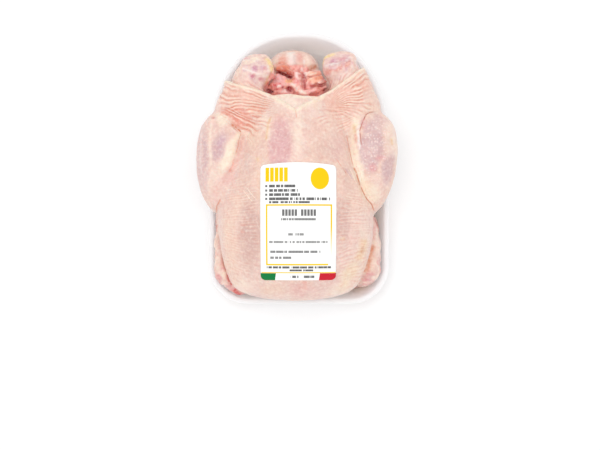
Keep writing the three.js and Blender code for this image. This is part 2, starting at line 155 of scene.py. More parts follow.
class Recipe:
    """A material being made: one Principled shader, and the nodes that feed it."""

    def __init__(self, name, **fixed):
        self.material = bpy.data.materials.new(name)
        self.material.use_nodes = True
        self.tree = self.material.node_tree
        self.shader = self.tree.nodes["Principled BSDF"]
        names = {key.replace("_", " ").title().replace("Ior", "IOR"): value for key, value in fixed.items()}
        for socket, value in names.items():
            self.shader.inputs[socket].default_value = value

    def node(self, kind, settings, values, out=0):
        """Any node: its settings first, then values or links for its sockets, by name or number."""
        made = self.tree.nodes.new(kind)
        for name, setting in settings.items():
            setattr(made, name, setting)
        for key, value in values.items():
            if isinstance(value, Value):
                self.tree.links.new(value.socket, made.inputs[key])
            else:
                made.inputs[key].default_value = value
        return Value(self, made.outputs[out])

    def set(self, socket, value):
        if isinstance(value, Value):
            self.tree.links.new(value.socket, self.shader.inputs[socket])
        else:
            self.shader.inputs[socket].default_value = value

    def place(self):
        return self.node("ShaderNodeTexCoord", {}, {}, out="Object")

    def attribute(self, name):
        return self.node("ShaderNodeAttribute", {"attribute_name": name}, {}, out="Color")

    def channels(self, colour):
        """The red, green and blue of a colour, as three values."""
        red = self.node("ShaderNodeSeparateColor", {}, {"Color": colour}, out="Red")
        outputs = red.socket.node.outputs
        return red, Value(self, outputs["Green"]), Value(self, outputs["Blue"])

    def noise(self, place, scale, detail):
        return self.node("ShaderNodeTexNoise", {}, {"Vector": place, "Scale": scale, "Detail": detail})

    def blend(self, share, under, over, way="MIX"):
        settings = {"data_type": "RGBA", "blend_type": way, "clamp_factor": True}
        return self.node("ShaderNodeMix", settings, {0: share, 6: under, 7: over}, out=2)

    def bump(self, height, distance, strength):
        values = {"Height": height, "Distance": distance, "Strength": strength}
        return self.node("ShaderNodeBump", {}, values)


def tone(red, green, blue):
    """Linear colour from the eight-bit numbers that a screen shows it with."""
    screen = np.array([red, green, blue]) / 255
    linear = np.where(screen <= 0.04045, screen / 12.92, ((screen + 0.055) / 1.055) ** 2.4)
    return tuple(float(value) for value in linear)


def solid_tone(red, green, blue):
    """The same colour for a material's socket, which wants an opacity too."""
    return tone(red, green, blue) + (1,)


# ---- field maths, in millimetres -----------------------------------------------------------------

def lump(p, at, size, power=2.0, turn=0.0, tip=0.0):
    """Superellipsoid: the power sum of offset / size, less one, over its own slope."""
    x, y, z = (p[i] - at[i] for i in range(3))
    a, b = np.radians([turn, tip])
    x, y = x * np.cos(a) + y * np.sin(a), y * np.cos(a) - x * np.sin(a)
    y, z = y * np.cos(b) + z * np.sin(b), z * np.cos(b) - y * np.sin(b)
    ratios = [np.abs(x / size[0]), np.abs(y / size[1]), np.abs(z / size[2])]
    reach = (sum(ratio ** power for ratio in ratios) + 1e-12) ** (1 / power)
    slopes = [ratio ** (power - 1) / length for ratio, length in zip(ratios, size)]
    slope = np.sqrt(sum(part ** 2 for part in slopes) + 1e-18) * reach ** (1 - power)
    return (reach - 1) / slope


def round_cone(p, a, b):
    """Distance to the cone that two spheres span: nearest end sphere, or the slanted side."""
    axis = [b[i] - a[i] for i in range(3)]
    offset = [p[i] - a[i] for i in range(3)]
    length2 = sum(value * value for value in axis)
    taper = a[3] - b[3]
    slant2 = length2 - taper * taper
    reach = sum(offset[i] * axis[i] for i in range(3))
    beyond = reach - length2
    off2 = sum((offset[i] * length2 - axis[i] * reach) ** 2 for i in range(3))
    side = np.sign(taper) * taper * taper * off2
    far = np.sqrt(off2 + beyond ** 2 * length2) / length2 - b[3]
    near = np.sqrt(off2 + reach ** 2 * length2) / length2 - a[3]
    flank = (np.sqrt(off2 * slant2 / length2) + reach * taper) / length2 - a[3]
    past_far = np.sign(beyond) * slant2 * beyond ** 2 * length2 > side
    past_near = np.sign(reach) * slant2 * reach ** 2 * length2 < side
    return np.where(past_far, far, np.where(past_near, near, flank))


def join(a, b, k):
    """Union with a fillet: the smaller distance, less a parabola where the two are within k."""
    near = np.maximum(k - np.abs(a - b), 0) / k
    return np.minimum(a, b) - near * near * k / 4


def carve(body, tool, k):
    """What is left of a body outside a tool: the outside's union with the tool, turned inside out."""
    return -join(-body, tool, k)


def limb(p, stations, k=4.0):
    """Cones between balls in a row, with fillets where they meet."""
    distance = round_cone(p, stations[0], stations[1])
    for a, b in zip(stations[1:], stations[2:]):
        distance = join(distance, round_cone(p, a, b), k)
    return distance


def smooth_step(value, low, high):
    """0 below low, 1 above high, and t squared times (3 - 2 t) between them."""
    t = np.clip((value - low) / (high - low), 0, 1)
    return t * t * (3 - 2 * t)


def path_at(p, path):
    """Nearest distance to a path through (x, y) or (x, y, z) points, the share of it passed, and
    the side of it on the plan: 1 on the right, -1 on the left."""
    points = np.array(path, float)
    lengths = np.linalg.norm(np.diff(points, axis=0), axis=1)
    starts = np.concatenate([[0], np.cumsum(lengths)])
    best = np.full(p[0].shape, np.inf)
    share = np.zeros(p[0].shape)
    right = np.zeros(p[0].shape)
    for start, end, length, before in zip(points, points[1:], lengths, starts):
        step = end - start
        offset = [p[i] - start[i] for i in range(len(step))]
        t = np.clip(sum(o * s for o, s in zip(offset, step)) / length ** 2, 0, 1)
        distance = np.sqrt(sum((o - t * s) ** 2 for o, s in zip(offset, step)))
        nearer = distance < best
        best = np.where(nearer, distance, best)
        share = np.where(nearer, (before + t * length) / starts[-1], share)
        right = np.where(nearer, np.sign(step[1] * offset[0] - step[0] * offset[1]), right)
    return best, share, right


def between_ends(share, low, high):
    """1 along a path, easing to 0 at both its ends."""
    return smooth_step(share, low, high) * smooth_step(1 - share, low, high)


def bell(p, path, width, taper=0.12):
    """A bell across a path, exp(-(distance / width) squared), that dies away at both its ends."""
    distance, share, _ = path_at(p, path)
    return np.exp(-((distance / width) ** 2)) * between_ends(share, -0.02, taper)


CORNERS = [(i, j, k) for i in (0, 1) for j in (0, 1) for k in (0, 1)]      # of a cell of a grid
NOISE_CELLS = 32


def noise(p, size, seed):
    """Smooth noise from 0 to 1: seeded values at cell corners, eased between the nearest eight."""
    table = np.random.default_rng(seed).random((NOISE_CELLS,) * 3)
    whole, part = [], []
    for value in p:
        cell = np.floor(value / size)
        fraction = value / size - cell
        whole.append(cell.astype(int))
        part.append(fraction * fraction * (3 - 2 * fraction))
    total = 0
    for corner in CORNERS:
        weight = 1
        for share, c in zip(part, corner):
            weight = weight * (share if c else 1 - share)
        total = total + weight * table[tuple((w + c) % NOISE_CELLS for w, c in zip(whole, corner))]
    return total


def rough_noise(p, size, seed):
    """Three octaves of smooth noise, from about 0 to 1."""
    return (noise(p, size, seed) * 4 + noise(p, size / 2, seed + 1) * 2 + noise(p, size / 4, seed + 2)) / 7


# ---- the bird's form, the same lumps and limbs as the solid's ------------------------------------

TRAY_HALF_WIDTH = 79.5
TRAY_HALF_LENGTH = 120.0
TRAY_HEIGHT = 30.0
TRAY_FLOOR = 4.0
TRAY_CORNER = 34.0
TRAY_ARCH = 104.5
TRAY_ARCH_POWER = 2.25
ARCH_START = TRAY_HALF_LENGTH - TRAY_ARCH
WALL_FROM = 4.6
WALL_TO = 15.4
TRAY_CLEARANCE = 0.5

# Lumps: middle, half sizes, squareness, turn on the plan and tip forward in degrees. Limbs: balls
# (x, y, z, radius) with tapering sides between them.
BREAST = {"at": (-2.7, -46, 46), "size": (67.6, 67.5, 54), "power": 2.35}
BELLY = {"at": (-1, 12, 45), "size": (49, 60, 46), "power": 2.2}
KEEL = [(-2, -72, 60, 33), (-2, -36, 72, 31), (-2, 4, 72, 27), (-1.5, 34, 64, 20)]
NECK_END = {"at": (-3.5, -84, 40), "size": (56.5, 27.5, 29), "power": 4}
RUMP = {"at": (-3, 50, 26), "size": (46, 34, 22), "power": 2.3}
TAIL = {"at": (-5, 86, 29), "size": (22.5, 18, 16), "power": 2.2, "tip": 14}
VENT = {"at": (-3, 67, 53), "size": (25, 22, 20), "power": 2.6}

LEG = {
    "left": {
        "muscle": {"at": (-64, 4, 54), "size": (24.7, 45, 23), "power": 2.3, "turn": 2},
        "thigh": {"at": (-56, 4, 42), "size": (28, 42, 26), "turn": 2},
        "knee": {"at": (-66, -27, 47), "size": (11, 12.5, 14)},
        "shank": [(-52, 38, 52, 21), (-46, 58, 54, 18.5), (-45, 66, 55, 16.5), (-43.5, 76, 56, 13.5)],
        "hock": [(-40, 68, 53, 13.5), (-36.5, 84, 57, 12.8)],
        "knob": {"at": (-36, 84.5, 57), "size": (13.8, 13.2, 12.8), "power": 2.7, "turn": 16, "tip": 20},
        "cut": ((-36.2, 88, 64.5), (0, 0.68, 0.73)),
    },
    "right": {
        "muscle": {"at": (60, 4, 55), "size": (24.7, 44, 23), "power": 2.3, "turn": -8},
        "thigh": {"at": (54, 4, 42), "size": (28, 42, 26), "turn": -3},
        "knee": {"at": (58, -28, 48), "size": (12, 14, 15)},
        "shank": [(50, 38, 53, 21), (45, 60, 55, 18.5), (43, 72, 56, 16), (42, 80, 57, 13.8)],
        "hock": [(39, 70, 54, 14), (36.5, 86, 58, 13)],
        "knob": {"at": (35.8, 86.3, 58), "size": (15, 13.2, 13.2), "power": 2.7, "turn": 4, "tip": 18},
        "cut": ((35.8, 91, 65.5), (-0.15, 0.68, 0.72)),
    },
}
WING = {
    "left": {
        "upper": [(-49, -82, 40, 15), (-58.5, -50, 33, 12.5)],
        "fore": [(-63.4, -43, 36, 10.8), (-62.6, -54, 34, 11), (-64, -68, 33, 11.5), (-64.5, -88, 32, 12)],
        "tip": [(-63, -92, 31, 12), (-53, -103, 26, 11)],
    },
    "right": {
        "upper": [(44, -82, 40, 15), (52, -48, 34, 13)],
        "fore": [(57, -50, 30, 12), (60.5, -70, 29, 12.5), (60.5, -91, 27, 13)],
        "tip": [(57, -92, 24, 12), (55, -97, 20, 8), (50, -105.5, 12, 6)],
    },
}
WEBS = [
    [(-58, 51, 52, 14), (-42, 60, 58, 13), (-22, 57, 64, 8.5), (-3, 46, 70, 9)],
    [(56, 52, 52, 14), (40, 62, 60, 13), (20, 56, 65, 8.5), (-3, 46, 70, 9)],
]
# How wide the fillets are where the parts of the bird meet, and where it is cut.
FILLET = {"belly": 24, "along the keel": 10, "keel": 14, "neck end": 14, "rump": 12, "tail": 6,
          "thigh": 6, "knee": 8, "along the shank": 8, "shank": 4, "leg": 3.5,
          "along the web": 6, "web": 6, "vent": 4, "knob": 4, "cut": 3, "stump": 1.5,
          "elbow": 4, "wing tip": 5, "wing": 1.5, "flesh": 3, "fold": 2, "slit": 1.5, "tray": 6}
# Cut edges of the skin between the legs, each with its skin on the right-hand side of its path on
# the plan: how far the lip stands up and how wide it is, and the drop on its other side.
SKIN_EDGES = [
    {"path": [(-66, 76), (-61, 74), (-54, 70.5), (-42.5, 67.5), (-32, 64.5), (-22, 61)],
     "lip": (2.0, 5), "drop": (3.6, 9)},
    {"path": [(-24, 61), (-20.5, 59), (-9, 51.5), (-3, 47)], "lip": (1.4, 3.2), "drop": (0.4, 3)},
    {"path": [(-3, 47), (3, 51.5), (18, 59)], "lip": (1.4, 3.2), "drop": (0.4, 3)},
    {"path": [(16, 59), (27, 65.5), (43, 76), (56, 86)], "lip": (2.2, 5), "drop": (3.6, 9)},
    {"path": [(-25, 60.5), (-7.7, 62), (1, 60), (19, 59)], "lip": (1.0, 4), "drop": (2.5, 3)},
]
EDGE_SHARPNESS = 0.8
EDGES_FROM_Z = 42.0
EDGES_RISE = 14.0
# What shows in the vent: masses of flesh, the folds that stand up from them, and the dark slits
# between them.
VENT_FLESH = [
    {"at": (-16, 67, 43), "size": (13, 12, 10)},
    {"at": (-1, 69, 43), "size": (5, 14, 11)},
    {"at": (13, 69, 42), "size": (11, 13, 11)},
    {"at": (-2, 77, 37), "size": (24, 12, 9.5)},
]
VENT_FOLDS = [
    [(-3.3, 82.5, 46, 2.2), (-2, 77, 48.5, 3.0), (-1.5, 71.5, 50.5, 2.6)],
    [(-7.4, 72.5, 50, 2.0), (-3, 68.8, 52, 2.4), (2.6, 64.4, 53.5, 2.2), (7, 63, 54, 1.8)],
    [(-21, 88, 44, 2.4), (-13, 86, 46, 3.0), (-7, 83, 46, 2.4)],
    [(-22, 79, 47, 2.0), (-17, 77, 49, 2.6), (-12, 75, 50, 2.4)],
    [(-23, 71.5, 51, 2.4), (-17, 70.5, 52, 2.4), (-12, 71, 51, 2.0)],
    [(6, 78, 47, 2.2), (11, 80.5, 48, 2.8), (17, 82, 46, 2.2)],
    [(7, 73, 49, 2.2), (12.5, 75.6, 50, 2.8), (19, 77.6, 48, 2.2)],
    [(13.8, 71, 51, 1.6), (17.6, 73.2, 51.5, 1.8), (22.5, 74.2, 49, 1.4)],
    [(6.5, 65, 53, 2.0), (15, 67, 53.5, 2.2), (23, 69.5, 51, 1.8)],
]
VENT_SLITS = [
    [(-20, 85, 44, 1.2), (-15, 81.5, 43, 2.2), (-7, 78, 44, 1.8)],
    [(-5, 83, 44, 1.0), (-5, 76, 45, 1.4)],
    [(4.4, 83, 46, 0.6), (4.6, 75, 48.5, 0.9), (5, 67.5, 51, 1.1)],
    [(8.5, 84, 42, 1.4), (12, 86.5, 42, 2.2), (15.5, 89, 40, 1.2)],
    [(-10.5, 68, 50.5, 1.5), (-6.5, 67, 51, 2.2)],
    [(-27, 66, 48, 1.6), (-22, 65.5, 49, 1.6)],
    [(8, 78, 49.5, 0.7), (13, 78.4, 50.5, 0.8), (19, 80, 49, 0.7)],
    [(9, 69.5, 52, 0.9), (15, 70, 52.5, 1.2), (22, 71.5, 50.5, 1.1)],
    [(21, 68, 50, 1.4), (25, 66.5, 50, 1.8)],
]
SLIT_SHADE = 0.5             # how far the dark of a slit spreads past its sides
VENT_SIDE = {"at": (12, 76, 46), "size": (13.5, 10.5, 11)}      # flesh that bulges out past the opening

# Folds in the skin: a path over the surface, its depth and half its width.
CREASES = [
    ([(-63, 39, 70), (-57, 35.5, 72), (-52, 31.8, 72), (-49, 28.5, 71)], 1.6, 1.3),
    ([(-49, 28, 70), (-52, 17.5, 73), (-55.5, 8, 76), (-59, -4, 76)], 0.7, 2.6),
    ([(-59, -4, 76), (-65, -15, 76), (-70, -33, 68), (-72, -42, 60)], 0.6, 2.6),
    ([(40, 27, 72), (43, 15, 74), (44.7, 6, 77), (46.4, -1, 78), (50.3, -11, 78), (55, -23, 77),
      (60, -31, 73), (65, -40, 62)], 1.1, 1.3),
    ([(66, 46.7, 64), (61, 46.2, 69), (57.5, 44.2, 71), (54.3, 37.4, 73), (52, 30.5, 74), (53, 18, 76)],
     1.1, 1.1),
    ([(39, 29, 72), (41, 19, 74)], 0.7, 1.3),
    ([(33, 4, 88), (36, -1, 88)], 0.5, 1.1),
    ([(38, 0, 86), (41, -9, 86)], 0.6, 1.1),
    ([(43, -4, 80), (46, -11, 80), (49, -17, 79)], 0.7, 1.1),
    ([(-70.5, -57, 42), (-68.5, -68, 44), (-66, -78, 45), (-62.5, -93, 44), (-58.5, -104, 41),
      (-52, -112, 33)], 2.4, 1.8),
    ([(65, -48, 41), (64.5, -64, 42), (61.5, -80, 42), (57.5, -93, 45), (51, -101, 44)], 2.4, 1.8),
    ([(-12, 100, 38), (-11, 89, 44)], 0.8, 1.1),
    ([(-2, 101, 38), (-2, 89, 44)], 0.9, 1.1),
    ([(5.5, 98, 39), (4.5, 84, 44)], 0.8, 1.0),
    ([(26, 60, 66), (38, 69, 66), (47, 75, 62)], 0.8, 1.4),
    ([(-26, 57, 68), (-42, 60, 66), (-56, 67, 62)], 0.8, 1.4),
]
# Fat and tendon that stand up under the skin, and the rims of the cut ends: path, height, half width.
RIDGES = [
    ([(-53, 24, 73), (-58, 9, 76), (-63, -4, 76), (-66, -14, 76)], 1.2, 4.2),
    ([(45, 29, 72), (48, 14, 75), (50, 1, 77), (55, -14, 76), (59, -27, 74)], 1.1, 3.6),
    ([(50, 31, 73), (50, 20, 75), (52, 9, 77)], 0.8, 2.0),
    ([(-7, 101, 38), (-6.5, 90, 44)], 1.1, 2.6),
    ([(-17, 98, 38), (-16, 89, 43)], 0.7, 2.2),
    ([(9, 97, 38), (8, 90, 43)], 0.6, 2.0),
    ([(44, 72, 64), (52, 80, 60)], 1.0, 1.8),
    ([(30, 60, 67), (44, 65, 66), (56, 68, 60)], 0.7, 1.6),
    ([(-36, 40, 72), (-46, 43, 72), (-58, 47, 68)], 1.0, 2.0),
    ([(-49.2, 85.3, 65), (-42.2, 82.2, 69), (-35.2, 79.2, 69), (-27.5, 78.3, 67)], 0.7, 1.8),
    ([(21.3, 83.8, 64), (26.6, 85.3, 68), (31.4, 86, 68.5), (37.8, 88.6, 68), (45, 90.3, 66)], 0.7, 1.6),
]


def inset_at(x, y):
    """How far a point stands in from the tray's outline, roughly; negative outside it."""
    flat = (x, y, np.zeros_like(x))
    arch = -lump(flat, (0, ARCH_START, 0), (TRAY_HALF_WIDTH, TRAY_ARCH, 1), TRAY_ARCH_POWER)
    dx = np.abs(x) - (TRAY_HALF_WIDTH - TRAY_CORNER)
    dy = -TRAY_HALF_LENGTH + TRAY_CORNER - y
    outside = np.hypot(np.maximum(dx, 0), np.maximum(dy, 0)) + np.minimum(np.maximum(dx, dy), 0)
    return np.where(y > ARCH_START, arch, TRAY_CORNER - outside)


def foam(p):
    """Negative inside the tray, grown by the clearance: its floor, and the wall under its slope."""
    inset = inset_at(p[0], p[1])
    fall = (TRAY_HEIGHT - TRAY_FLOOR) / (WALL_TO - WALL_FROM)
    wall_top = TRAY_HEIGHT - fall * np.maximum(inset - WALL_FROM, 0)
    wall = np.maximum(-inset, (p[2] - wall_top) / np.hypot(1, fall))
    return np.minimum(p[2] - TRAY_FLOOR, wall) - TRAY_CLEARANCE


def leg(p, parts):
    """The drumstick's muscle, the thigh behind it, the knee, and the shank up to the hock."""
    thigh = join(lump(p, **parts["muscle"]), lump(p, **parts["thigh"]), FILLET["thigh"])
    upper = join(thigh, lump(p, **parts["knee"]), FILLET["knee"])
    shank = limb(p, parts["shank"], FILLET["along the shank"])
    return join(upper, shank, FILLET["shank"])


def past_cut(p, parts):
    """How far a point lies beyond the slanting cut through the hock."""
    at, normal = parts["cut"]
    normal = np.array(normal) / np.linalg.norm(normal)
    return sum((p[i] - at[i]) * normal[i] for i in range(3))


def stump(p, parts):
    """The end of the leg: the hock and its knob, cut through aslant."""
    end = join(limb(p, parts["hock"]), lump(p, **parts["knob"]), FILLET["knob"])
    return carve(end, -past_cut(p, parts), FILLET["cut"])


def wing(p, parts):
    """A folded wing: upper part, fore part and tip."""
    folded = join(limb(p, parts["upper"]), limb(p, parts["fore"]), FILLET["elbow"])
    return join(folded, limb(p, parts["tip"]), FILLET["wing tip"])


def edge_relief(p):
    """A lip on the skin's side of each edge and a drop on the other, both fading like a bell, with
    a steep smooth step between them. Only what lies high has them."""
    upper = np.clip((p[2] - EDGES_FROM_Z) / EDGES_RISE, 0, 1)
    relief = 0
    for edge in SKIN_EDGES:
        distance, share, right = path_at(p, edge["path"])
        (lip, lip_width), (drop, drop_width) = edge["lip"], edge["drop"]
        on_skin = smooth_step(distance * right, -EDGE_SHARPNESS, EDGE_SHARPNESS)
        risen = lip * np.exp(-((distance / lip_width) ** 2)) * on_skin
        fallen = drop * np.exp(-((distance / drop_width) ** 2)) * (1 - on_skin)
        relief = relief + (risen - fallen) * between_ends(share, -0.01, 0.06)
    return upper * relief


def on_rim(p):
    """1 along the lips of the skin's cut edges."""
    rims = []
    for edge in SKIN_EDGES:
        distance, _, right = path_at(p, edge["path"])
        inward = distance * right
        rims.append(smooth_step(inward, -1.2, 0.2) * (1 - smooth_step(inward, 1.6, 4.2)))
    return np.maximum.reduce(rims) * smooth_step(p[2], 50, 60)


def bird(p):
    """The whole bird: torso, tail, legs, the skin between them, the vent, cut ends and wings."""
    skin = join(lump(p, **BREAST), lump(p, **BELLY), FILLET["belly"])
    skin = join(skin, limb(p, KEEL, FILLET["along the keel"]), FILLET["keel"])
    skin = join(skin, lump(p, **NECK_END), FILLET["neck end"])
    skin = join(skin, lump(p, **RUMP), FILLET["rump"])
    skin = join(skin, lump(p, **TAIL), FILLET["tail"])
    for parts in LEG.values():
        skin = join(skin, leg(p, parts), FILLET["leg"])
    for web in WEBS:
        skin = join(skin, limb(p, web, FILLET["along the web"]), FILLET["web"])
    skin = carve(skin, lump(p, **VENT), FILLET["vent"])
    for side in LEG:
        skin = join(skin, stump(p, LEG[side]), FILLET["stump"])
        skin = join(skin, wing(p, WING[side]), FILLET["wing"])
    skin = skin - edge_relief(p)
    for flesh in VENT_FLESH:
        skin = join(skin, lump(p, **flesh), FILLET["flesh"])
    for fold in VENT_FOLDS:
        skin = join(skin, limb(p, fold), FILLET["fold"])
    for slit in VENT_SLITS:
        skin = carve(skin, limb(p, slit), FILLET["slit"])
    for path, depth, width in CREASES:
        skin = skin + depth * bell(p, path, width)
    for path, height, width in RIDGES:
        skin = skin - height * bell(p, path, width, taper=0.25)
    return carve(skin, foam(p), FILLET["tray"])


# ---- wrapping a grid round a field ---------------------------------------------------------------

BLOCK = 4                    # fine cells along each side of a coarse one
REACH = 1.8                  # how many coarse cells from the zero level the fine ones are worked out


def grid_lines(start, stop, steps):
    """Grid lines from start to stop; steps are (up to here, spacing) pairs."""
    lines = [start]
    for up_to, spacing in steps:
        while lines[-1] < min(up_to, stop):
            lines.append(lines[-1] + spacing)
    spare = (len(lines) - 1) % BLOCK
    for _ in range((BLOCK - spare) % BLOCK):
        lines.append(lines[-1] + steps[-1][1])
    return np.array(lines)


def at_corners(values):
    """For each corner of a cell, the values that all the grid's cells have there."""
    return [values[tuple(slice(c, n - 1 + c) for c, n in zip(corner, values.shape))] for corner in CORNERS]


def sample(field, lines):
    """The field at every grid point near its zero level, and a coarse stand-in elsewhere."""
    coarse_lines = [values[::BLOCK] for values in lines]
    coarse_grid = np.meshgrid(*coarse_lines, indexing="ij")
    coarse = field([c.ravel() for c in coarse_grid]).reshape(coarse_grid[0].shape)
    reach = BLOCK * max(np.diff(values).max() for values in lines) * REACH
    crossed = np.logical_or.reduce(at_corners(np.abs(coarse) < reach))
    fine = np.pad(np.kron(crossed, np.ones((BLOCK,) * 3, bool)), ((1, 1),) * 3)
    fine = np.logical_or.reduce(at_corners(fine))
    values = np.kron(coarse[:-1, :-1, :-1], np.ones((BLOCK,) * 3))
    values = np.pad(values, ((0, 1),) * 3, mode="edge")
    where = np.nonzero(fine)
    values[where] = field([lines[axis][where[axis]] for axis in range(3)])
    return values


def wrap(field, lines):
    """One vertex in each cell that the zero level crosses, at the mean of the crossings of the
    cell's edges, and a quad round each crossed edge of the grid."""
    values = sample(field, lines)
    inside = values < 0
    corners = at_corners(inside)
    crossed = np.logical_or.reduce(corners) & ~np.logical_and.reduce(corners)
    cells = np.argwhere(crossed)
    number = np.full(crossed.shape, -1)
    number[tuple(cells.T)] = np.arange(len(cells))

    total = np.zeros((len(cells), 3))
    count = np.zeros(len(cells))
    quads = []
    for axis in range(3):
        u, v = (axis + 1) % 3, (axis + 2) % 3
        for du, dv in ((0, 0), (1, 0), (0, 1), (1, 1)):
            start = cells.copy()
            start[:, u] += du
            start[:, v] += dv
            end = start.copy()
            end[:, axis] += 1
            a, b = values[tuple(start.T)], values[tuple(end.T)]
            crossing = (a < 0) != (b < 0)
            share = np.where(crossing, a / np.where(a == b, 1, a - b), 0)
            for i in range(3):
                low, high = lines[i][start[:, i]], lines[i][end[:, i]]
                total[:, i] += (low + share * (high - low)) * crossing
            count += crossing
        ahead = tuple(slice(1, None) if i == axis else slice(None) for i in range(3))
        behind = tuple(slice(None, -1) if i == axis else slice(None) for i in range(3))
        edges = np.argwhere(inside[ahead] != inside[behind])
        keep = np.ones(len(edges), bool)
        for i in (u, v):
            keep &= (edges[:, i] > 0) & (edges[:, i] < values.shape[i] - 1)
        edges = edges[keep]
        ring = []
        for du, dv in ((-1, -1), (0, -1), (0, 0), (-1, 0)):
            cell = edges.copy()
            cell[:, u] += du
            cell[:, v] += dv
            ring.append(number[tuple(cell.T)])
        quad = np.stack(ring, axis=1)
        turned = inside[ahead][tuple(edges.T)]
        quad[turned] = quad[turned][:, ::-1]
        quads.append(quad)
    return total / count[:, None], np.concatenate(quads)


SLOPE_STEP = 0.05
LONGEST_MOVE = 0.8


def gradient(field, p):
    """How fast the field grows along x, y and z: differences over a short step each way."""
    slopes = []
    for axis in range(3):
        ahead = [value + SLOPE_STEP * (i == axis) for i, value in enumerate(p)]
        behind = [value - SLOPE_STEP * (i == axis) for i, value in enumerate(p)]
        slopes.append((field(ahead) - field(behind)) / (2 * SLOPE_STEP))
    return slopes


def onto_skin(field, vertices):
    """Two Newton steps straight onto the zero level, neither longer than the longest move."""
    p = list(vertices.T)
    for _ in range(2):
        slope = gradient(field, p)
        steep = sum(part ** 2 for part in slope) + 1e-6
        move = field(p) / steep
        length = np.abs(move) * np.sqrt(steep)
        move = move * np.minimum(1, LONGEST_MOVE / np.maximum(length, 1e-9))
        p = [value - move * part for value, part in zip(p, slope)]
    return p


# ---- wrinkles and other low relief, in millimetres along the skin's normal -----------------------

# Fans of wrinkles: focus on the plan, wrinkles in a half turn, where they begin, the region on the
# plan with its half sizes and turn, height of the wrinkles, how strongly they are coloured, seed.
FANS = {
    "left_band": {"focus": (4, 47), "count": 50, "begin": 18, "at": (-46, 58), "size": (39, 18),
                  "turn": -12, "height": 0.95, "ink": 0.85, "seed": 11},
    "right_band": {"focus": (20, 51), "count": 34, "begin": 8, "at": (47, 62), "size": (32, 24),
                   "turn": 24, "height": 1.3, "ink": 1.0, "seed": 12},
    "left_pocket": {"focus": (-92, 60), "count": 46, "begin": 14, "at": (-47, 39), "size": (27, 15),
                    "turn": -20, "height": 1.0, "ink": 1.0, "seed": 13},
    "right_belly": {"focus": (90, 54), "count": 60, "begin": 10, "at": (34, 39), "size": (28, 13),
                    "turn": -16, "height": 0.35, "ink": 0.55, "seed": 14},
    "left_breast": {"focus": (-170, -48), "count": 150, "begin": 20, "at": (-50, -52), "size": (22, 70),
                    "turn": 0, "height": 0.13, "ink": 0.3, "seed": 15},
    "right_breast": {"focus": (190, -50), "count": 165, "begin": 20, "at": (45, -66), "size": (22, 62),
                     "turn": 0, "height": 0.17, "ink": 0.4, "seed": 16},
}
FANS_FROM_Z = 40.0
WAVE_MIDDLE = 0.6            # the mean of |sin|, so that wrinkles neither swell nor sink the skin


def plan_spot(p, at, size, turn=0.0, edge=1.0):
    """Soft ellipse on the plan: 1 in its middle and 0 beyond its size, fading over its outer share."""
    a = np.radians(turn)
    x, y = p[0] - at[0], p[1] - at[1]
    reach = np.hypot((x * np.cos(a) + y * np.sin(a)) / size[0], (y * np.cos(a) - x * np.sin(a)) / size[1])
    return smooth_step(1 - reach, 0, edge)


def fan(p, focus, count, begin, at, size, turn, height, ink, seed):
    """Wrinkles that spread from a focus: |sin| of the angle round it. Noise that changes quickly from
    wrinkle to wrinkle and slowly along them makes them uneven, and breaks them up.
    Returns the relief, the phase inside the sin, and how strong the wrinkles are."""
    away = np.sign(at[0] - focus[0])
    dx, dy = (p[0] - focus[0]) * away, p[1] - focus[1]
    radius = np.hypot(dx, dy)
    order = np.arctan2(dy, np.maximum(dx, 1)) * count / np.pi
    level = np.zeros(len(order))
    bend = 4.4 * rough_noise(p, 12, seed) + 3.2 * noise((order, radius / 7, level), 1.6, seed + 3)
    phase = order * np.pi + bend
    broken = noise((order, radius / 5, level), 1.3, seed + 5) * 0.6 + noise(p, 6, seed + 6) * 0.4
    region = plan_spot(p, at, size, turn, 0.5) * smooth_step(radius, begin, begin + 14)
    region = region * smooth_step(dx, 2, 8) * smooth_step(p[2], FANS_FROM_Z, FANS_FROM_Z + 12)
    strong = region * (0.15 + 0.85 * smooth_step(broken, 0.3, 0.62)) * (1 - 0.8 * on_rim(p))
    return height * strong * (np.abs(np.sin(phase)) - WAVE_MIDDLE), phase, ink * strong


LABEL_WIDTH = 63.0
LABEL_FROM_Y = -96.5
LABEL_TO_Y = 0.0
LABEL_CENTRE_X = -0.5
LABEL_CORNER = 4.0
LABEL_ARCH = 1.8
LABEL_GAP = 0.5
LABEL_THICKNESS = 0.35
LABEL_SMOOTHS = 0.92         # how much of the skin's relief the sticker presses flat


def calm(p):
    """1 on the open skin, and little under the sticker, so that the skin is smooth there."""
    dx = np.abs(p[0] - LABEL_CENTRE_X) - LABEL_WIDTH / 2
    dy = np.abs(p[1] - (LABEL_FROM_Y + LABEL_TO_Y) / 2) - (LABEL_TO_Y - LABEL_FROM_Y) / 2
    under = smooth_step(-np.maximum(dx, dy), -4.5, -0.5) * smooth_step(p[2], 55, 65)
    return 1 - LABEL_SMOOTHS * under


def close_to(distance, reach, fade):
    """1 on a form and 0 beyond its reach, easing over the fade."""
    return smooth_step(reach - distance, 0, fade)


def in_vent(p):
    """1 where the body's opening was carved and on the flesh beside it, 0 on the outer skin."""
    opening = np.minimum(lump(p, **VENT), lump(p, **VENT_SIDE))
    return close_to(opening, 2.2, 2)


def in_slits(p):
    """1 in the dark gaps between the masses of flesh."""
    dark = 0
    for slit in VENT_SLITS:
        dark = dark + bell(p, [point[:3] for point in slit], SLIT_SHADE + slit[1][3])
    return np.clip(dark, 0, 1)


def on_ends(p):
    """1 on the cut ends of the legs and 0 a little way off them."""
    return close_to(np.minimum(stump(p, LEG["left"]), stump(p, LEG["right"])), 2.2, 2)


def on_wings(p):
    """1 on the wings and 0 a little way off them."""
    return close_to(np.minimum(wing(p, WING["left"]), wing(p, WING["right"])), 3, 3)


